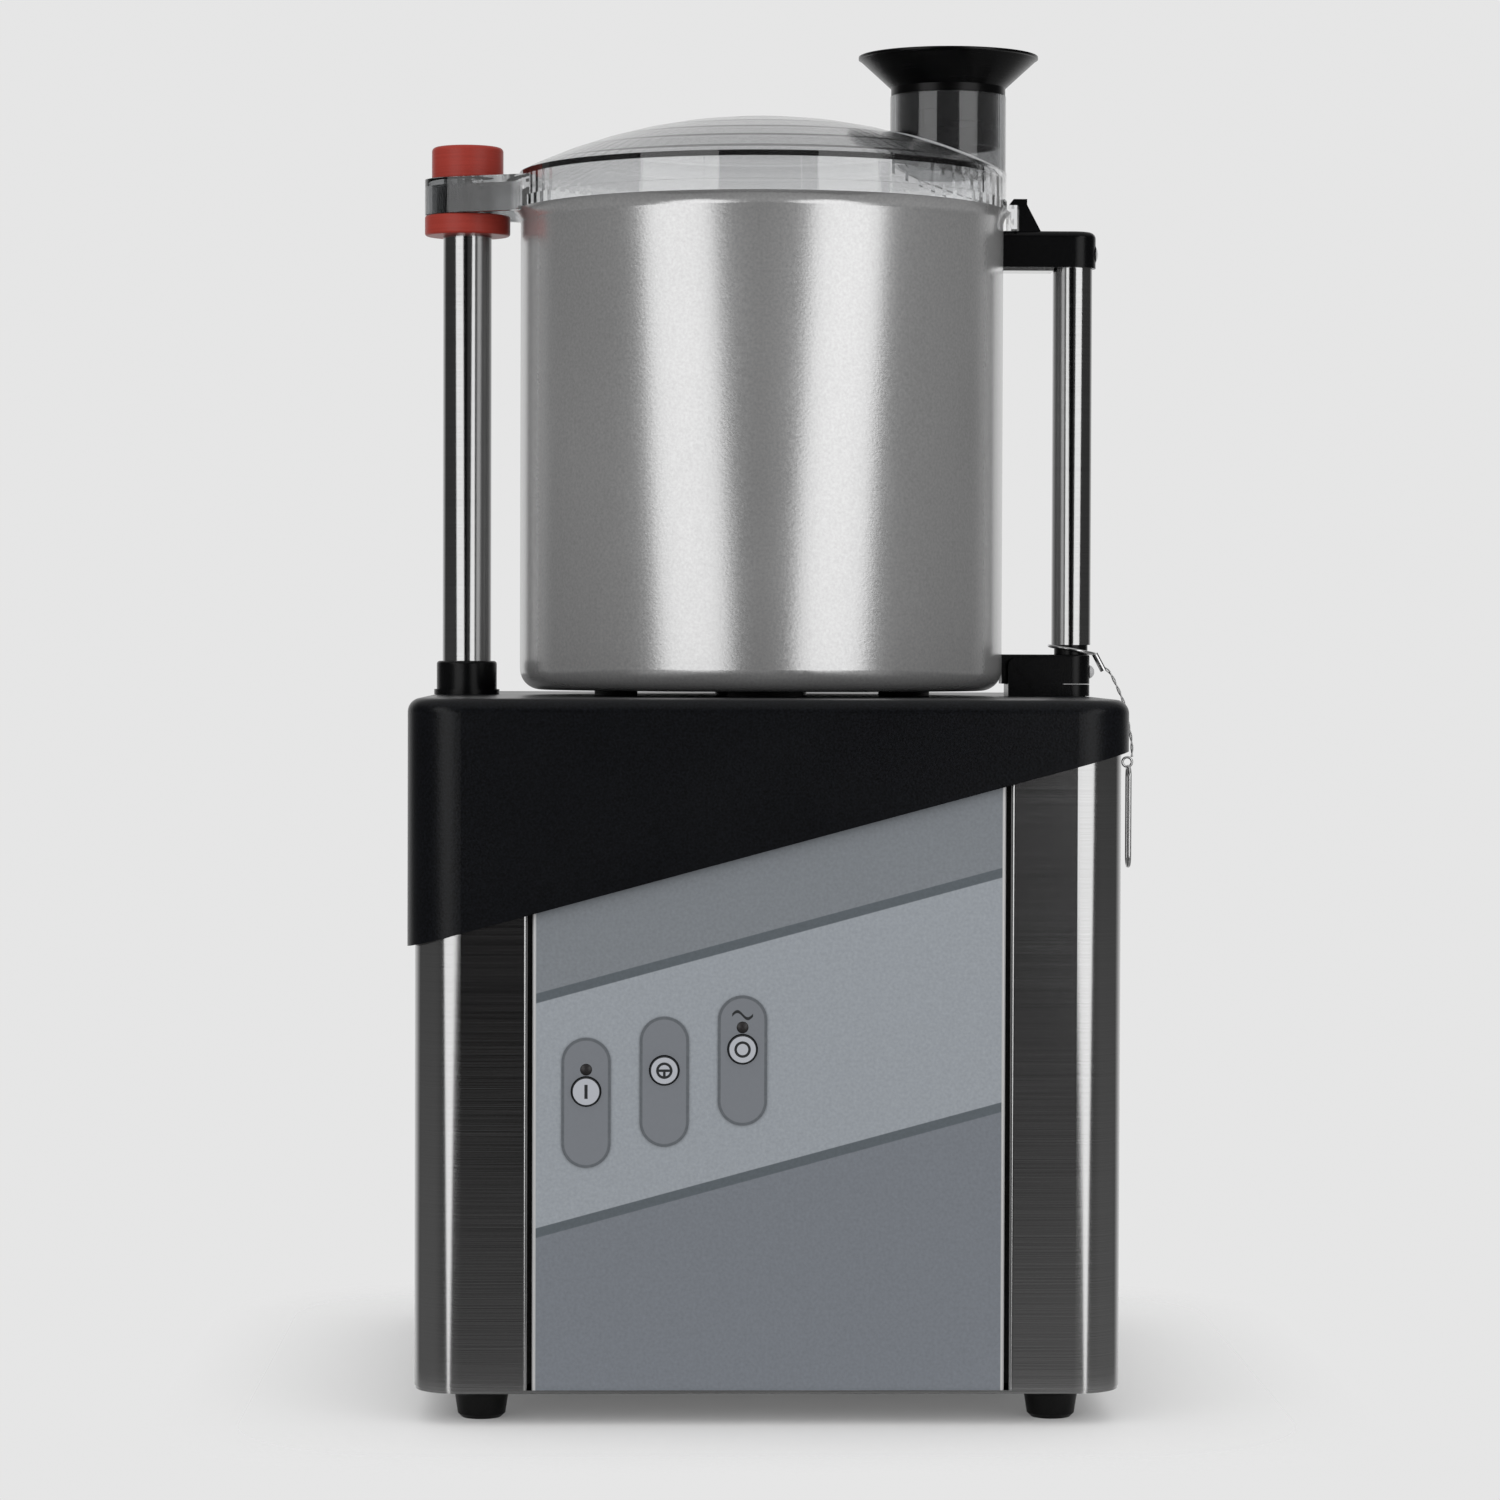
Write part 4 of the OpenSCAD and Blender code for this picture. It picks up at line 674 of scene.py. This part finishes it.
# %% run the bead
DOME_R = 211 * MM
DOME_Z = 265.9 * MM
DOME_EDGE = 92.4 * MM
BEAD_R = 0.55 * MM
BEAD_LIFT = 0.2 * MM
BEAD_STEPS = 96
joint_line = []
for step in range(BEAD_STEPS):
    a = 2 * math.pi * step / BEAD_STEPS
    x, y = FEED_X + (FEED_R + BEAD_R) * math.cos(a), (FEED_R + BEAD_R) * math.sin(a)
    out = math.hypot(x, y)
    reach = min(out, DOME_EDGE)
    z = DOME_Z + math.sqrt(DOME_R ** 2 - reach ** 2) + BEAD_LIFT
    joint_line.append((x * reach / out, y * reach / out, z))
bm = bmesh.new()
bm.from_mesh(as_mesh(curve_of("bead", joint_line, BEAD_R, closed=True)))
# the bead's light grey is a painted highlight for the light that the clear fillet catches
joint_highlight = turned("joint_highlight", (0.38, 0.385, 0.39), 0.3, 1.3 * MM, 0.02 * MM)
bead = add_piece("feed_joint_bead", bm, joint_highlight, "lid")
print("bead:", len(bead.data.polygons), "faces")

# %% [markdown]
# ## Seals beside the front panel
# A narrow gap runs up each side of the front panel. A strip of black foam behind the panel's
# folded edge closes the gap, so that no splash gets to the electronics. It is a plain
# bar with rounded edges, so a cube is stretched to its size and then bevelled.

# %% make the seals
SEAL_X = (83.65 * MM, 86.3 * MM)
SEAL_Y = (-134.1 * MM, -131.4 * MM)
SEAL_Z = (14.6 * MM, 230 * MM)
SEAL_ROUND = 0.5 * MM
seal_size = [high - low for low, high in (SEAL_X, SEAL_Y, SEAL_Z)]
seal_at = [(high + low) / 2 for low, high in (SEAL_X, SEAL_Y, SEAL_Z)]
bm = bmesh.new()
for side in (-1, 1):
    made = bmesh.ops.create_cube(bm, size=1)
    bmesh.ops.scale(bm, vec=seal_size, verts=made["verts"])
    bmesh.ops.translate(bm, vec=(side * seal_at[0], seal_at[1], seal_at[2]), verts=made["verts"])
bmesh.ops.bevel(
    bm, geom=bm.edges[:], offset=SEAL_ROUND, offset_type="OFFSET", segments=3, profile=0.5,
    material=-1, affect="EDGES",
)
foam = moulded("black_foam", (0.004, 0.004, 0.004), 0.9, 1600, 0.1 * MM, **LOW_GLOSS)
seals = add_piece("gap_seals", bm, foam, "base")
print("seals:", len(seals.data.polygons), "faces")

# %% [markdown]
# ## The lanyard's wire
# A thin wire, doubled and lightly twisted, ties the safety clip to the handle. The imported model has
# it as one thick tube, and a bump on that would leave its outline smooth. So two strands are swept
# along the same route and turned about each other, within the same thickness. The route's
# points are the ones that the solids use, joined by the same smooth curve.

# %% twist two strands
ROUTE = [
    Vector((x * MM, 0, z * MM))
    for x, z in (
        (131, 268.5), (134, 266), (137, 260), (139.5, 254), (141, 247), (142.3, 240), (142.5, 234)
    )
]
WIRE_D = 1.2 * MM
ROUTE_STEPS = 12
STRAND_R = 0.27 * MM
TWIST_PITCH = 9 * MM


def along(points, steps):
    """Points on the smooth curve through the route's points."""
    out = []
    last = len(points) - 1
    for i in range(last):
        a, b = points[max(i - 1, 0)], points[i]
        c, d = points[i + 1], points[min(i + 2, last)]
        for s in range(steps):
            t = s / steps
            out.append(
                0.5 * (2 * b + (c - a) * t + (2 * a - 5 * b + 4 * c - d) * t * t
                       + (3 * b - a - 3 * c + d) * t ** 3)
            )
    return [*out, points[last]]


def strand_line(line, phase):
    """The points of one strand that turns about the line."""
    side = Vector((0, 1, 0))
    out = []
    gone = 0.0
    for i, point in enumerate(line):
        ahead = (line[min(i + 1, len(line) - 1)] - line[max(i - 1, 0)]).normalized()
        up = ahead.cross(side)
        gone += (point - line[i - 1]).length if i else 0
        turn = 2 * math.pi * gone / TWIST_PITCH + phase
        away = side * math.cos(turn) + up * math.sin(turn)
        out.append(point + away * (WIRE_D / 2 - STRAND_R))
    return out


wire_line = along(ROUTE, ROUTE_STEPS)
bm = bmesh.new()
for phase in (0, math.pi):
    bm.from_mesh(as_mesh(curve_of("strand", strand_line(wire_line, phase), STRAND_R)))
wire = add_piece("wire_strands", bm, bright_steel, "bowl")
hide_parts("lanyard_wire")
wire_length = sum((b - a).length for a, b in zip(wire_line, wire_line[1:]))
print("wire length in mm:", round(wire_length / MM, 1))

# %% [markdown]
# ## The floor
# A studio floor that fades into the backdrop has no horizon. It could be a sheet that curves up
# behind the machine, but then it would stand in the way of the other views. So the floor is
# a plain pale disc that turns transparent a little way past the base, where the shadow ends.

# %% the floor
FLOOR_R = 0.4
BASE_HALF = (0.12, 0.13)
FADE = 0.1
SHADOW = 0.86
bm = bmesh.new()
bmesh.ops.create_circle(bm, cap_ends=True, segments=128, radius=FLOOR_R)
floor_mesh = bpy.data.meshes.new("floor")
bm.to_mesh(floor_mesh)
bm.free()
floor = bpy.data.objects.new("floor", floor_mesh)
scene.collection.objects.link(floor)
floor_finish = Finish("pale_floor", (0.86, 0.86, 0.86), 0.7, Specular_IOR_Level=0.1)
past = [(abs(at) - half) | 0.0 for at, half in zip((floor_finish.x, floor_finish.y), BASE_HALF)]
floor_finish.feed(Alpha=length(*past).below(FADE / 2, FADE) * SHADOW)
floor_mesh.materials.append(floor_finish.material)
print("floor fades over", FADE, "m beside the base")

# %% [markdown]
# ## The studio round it
# The world does three jobs. The camera sees a plain pale backdrop, also through the clear lid. Dull
# surfaces get an even light that is stronger from above. Metal mirrors a studio: pale behind the
# machine and overhead, dim at the sides, a little light from the table, and almost dark in front,
# where the room is unlit. Light Path says which kind of ray asks.

# %% the world
PALE = 0.79
world = bpy.data.worlds.new("studio")
world.use_nodes = True
world.node_tree.nodes.clear()
scene.world = world
studio = Graph(world.node_tree, "Generated")
back = studio.ramp(studio.y, (0.4, 0.98), (0.0, PALE))
sky = studio.ramp(studio.z, (0.25, 0.95), (0.0, 0.6))
beside = studio.ramp(abs(studio.x), (0.55, 0.95), (0.0, 1.0))
wall = studio.ramp(studio.z, (-0.15, 0.02), (0.16, 0.06), "LINEAR")
table = studio.ramp(studio.z, (-0.19, -0.1), (0.17, 0.0))
front = studio.ramp(studio.x, (-0.03, 0.11), (0.0, 0.06))
mirrored = back | sky | beside * wall | table + front
fill = studio.ramp(studio.z, (-0.2, 1.0), (0.56, 1.02), "LINEAR")
rays = studio.node("ShaderNodeLightPath").outputs
seen = studio.maths("MAXIMUM", rays["Is Camera Ray"], rays["Is Transmission Ray"])
level = studio.pick(seen, studio.pick(rays["Is Glossy Ray"], fill, mirrored), PALE)
glow = studio.node("ShaderNodeBackground", {}, {"Color": (*WHITE, 1), "Strength": level})
studio.node("ShaderNodeOutputWorld", {}, {"Surface": glow.outputs[0]})
print("world ready")

# %% [markdown]
# ## Two soft boxes
# Two tall soft boxes stand left and right of the camera and draw the two upright highlights on the
# bowl. Their angles place those highlights, and their widths set how broad they are.


# %% the soft boxes
BOX_AWAY = 1.5
BOX_UP = 0.55
BOX_TALL = 1.5
BOX_RADIANCE = 1.7


def soft_box(name, turn, wide):
    """A soft box that faces the machine, turn degrees to the right of the camera's side."""
    data = bpy.data.lights.new(name, "AREA")
    data.shape = "RECTANGLE"
    data.size = wide
    data.size_y = BOX_TALL
    data.energy = BOX_RADIANCE * math.pi * wide * BOX_TALL
    box = bpy.data.objects.new(name, data)
    a = math.radians(turn)
    box.location = (math.sin(a) * BOX_AWAY, -math.cos(a) * BOX_AWAY, BOX_UP)
    aim = Vector((0, 0, BOX_UP)) - box.location
    box.rotation_euler = aim.to_track_quat("-Z", "Z").to_euler()
    box.visible_camera = False
    scene.collection.objects.link(box)


soft_box("left_box", -39.6, 0.74)
soft_box("right_box", 38.0, 0.76)
print("two soft boxes")
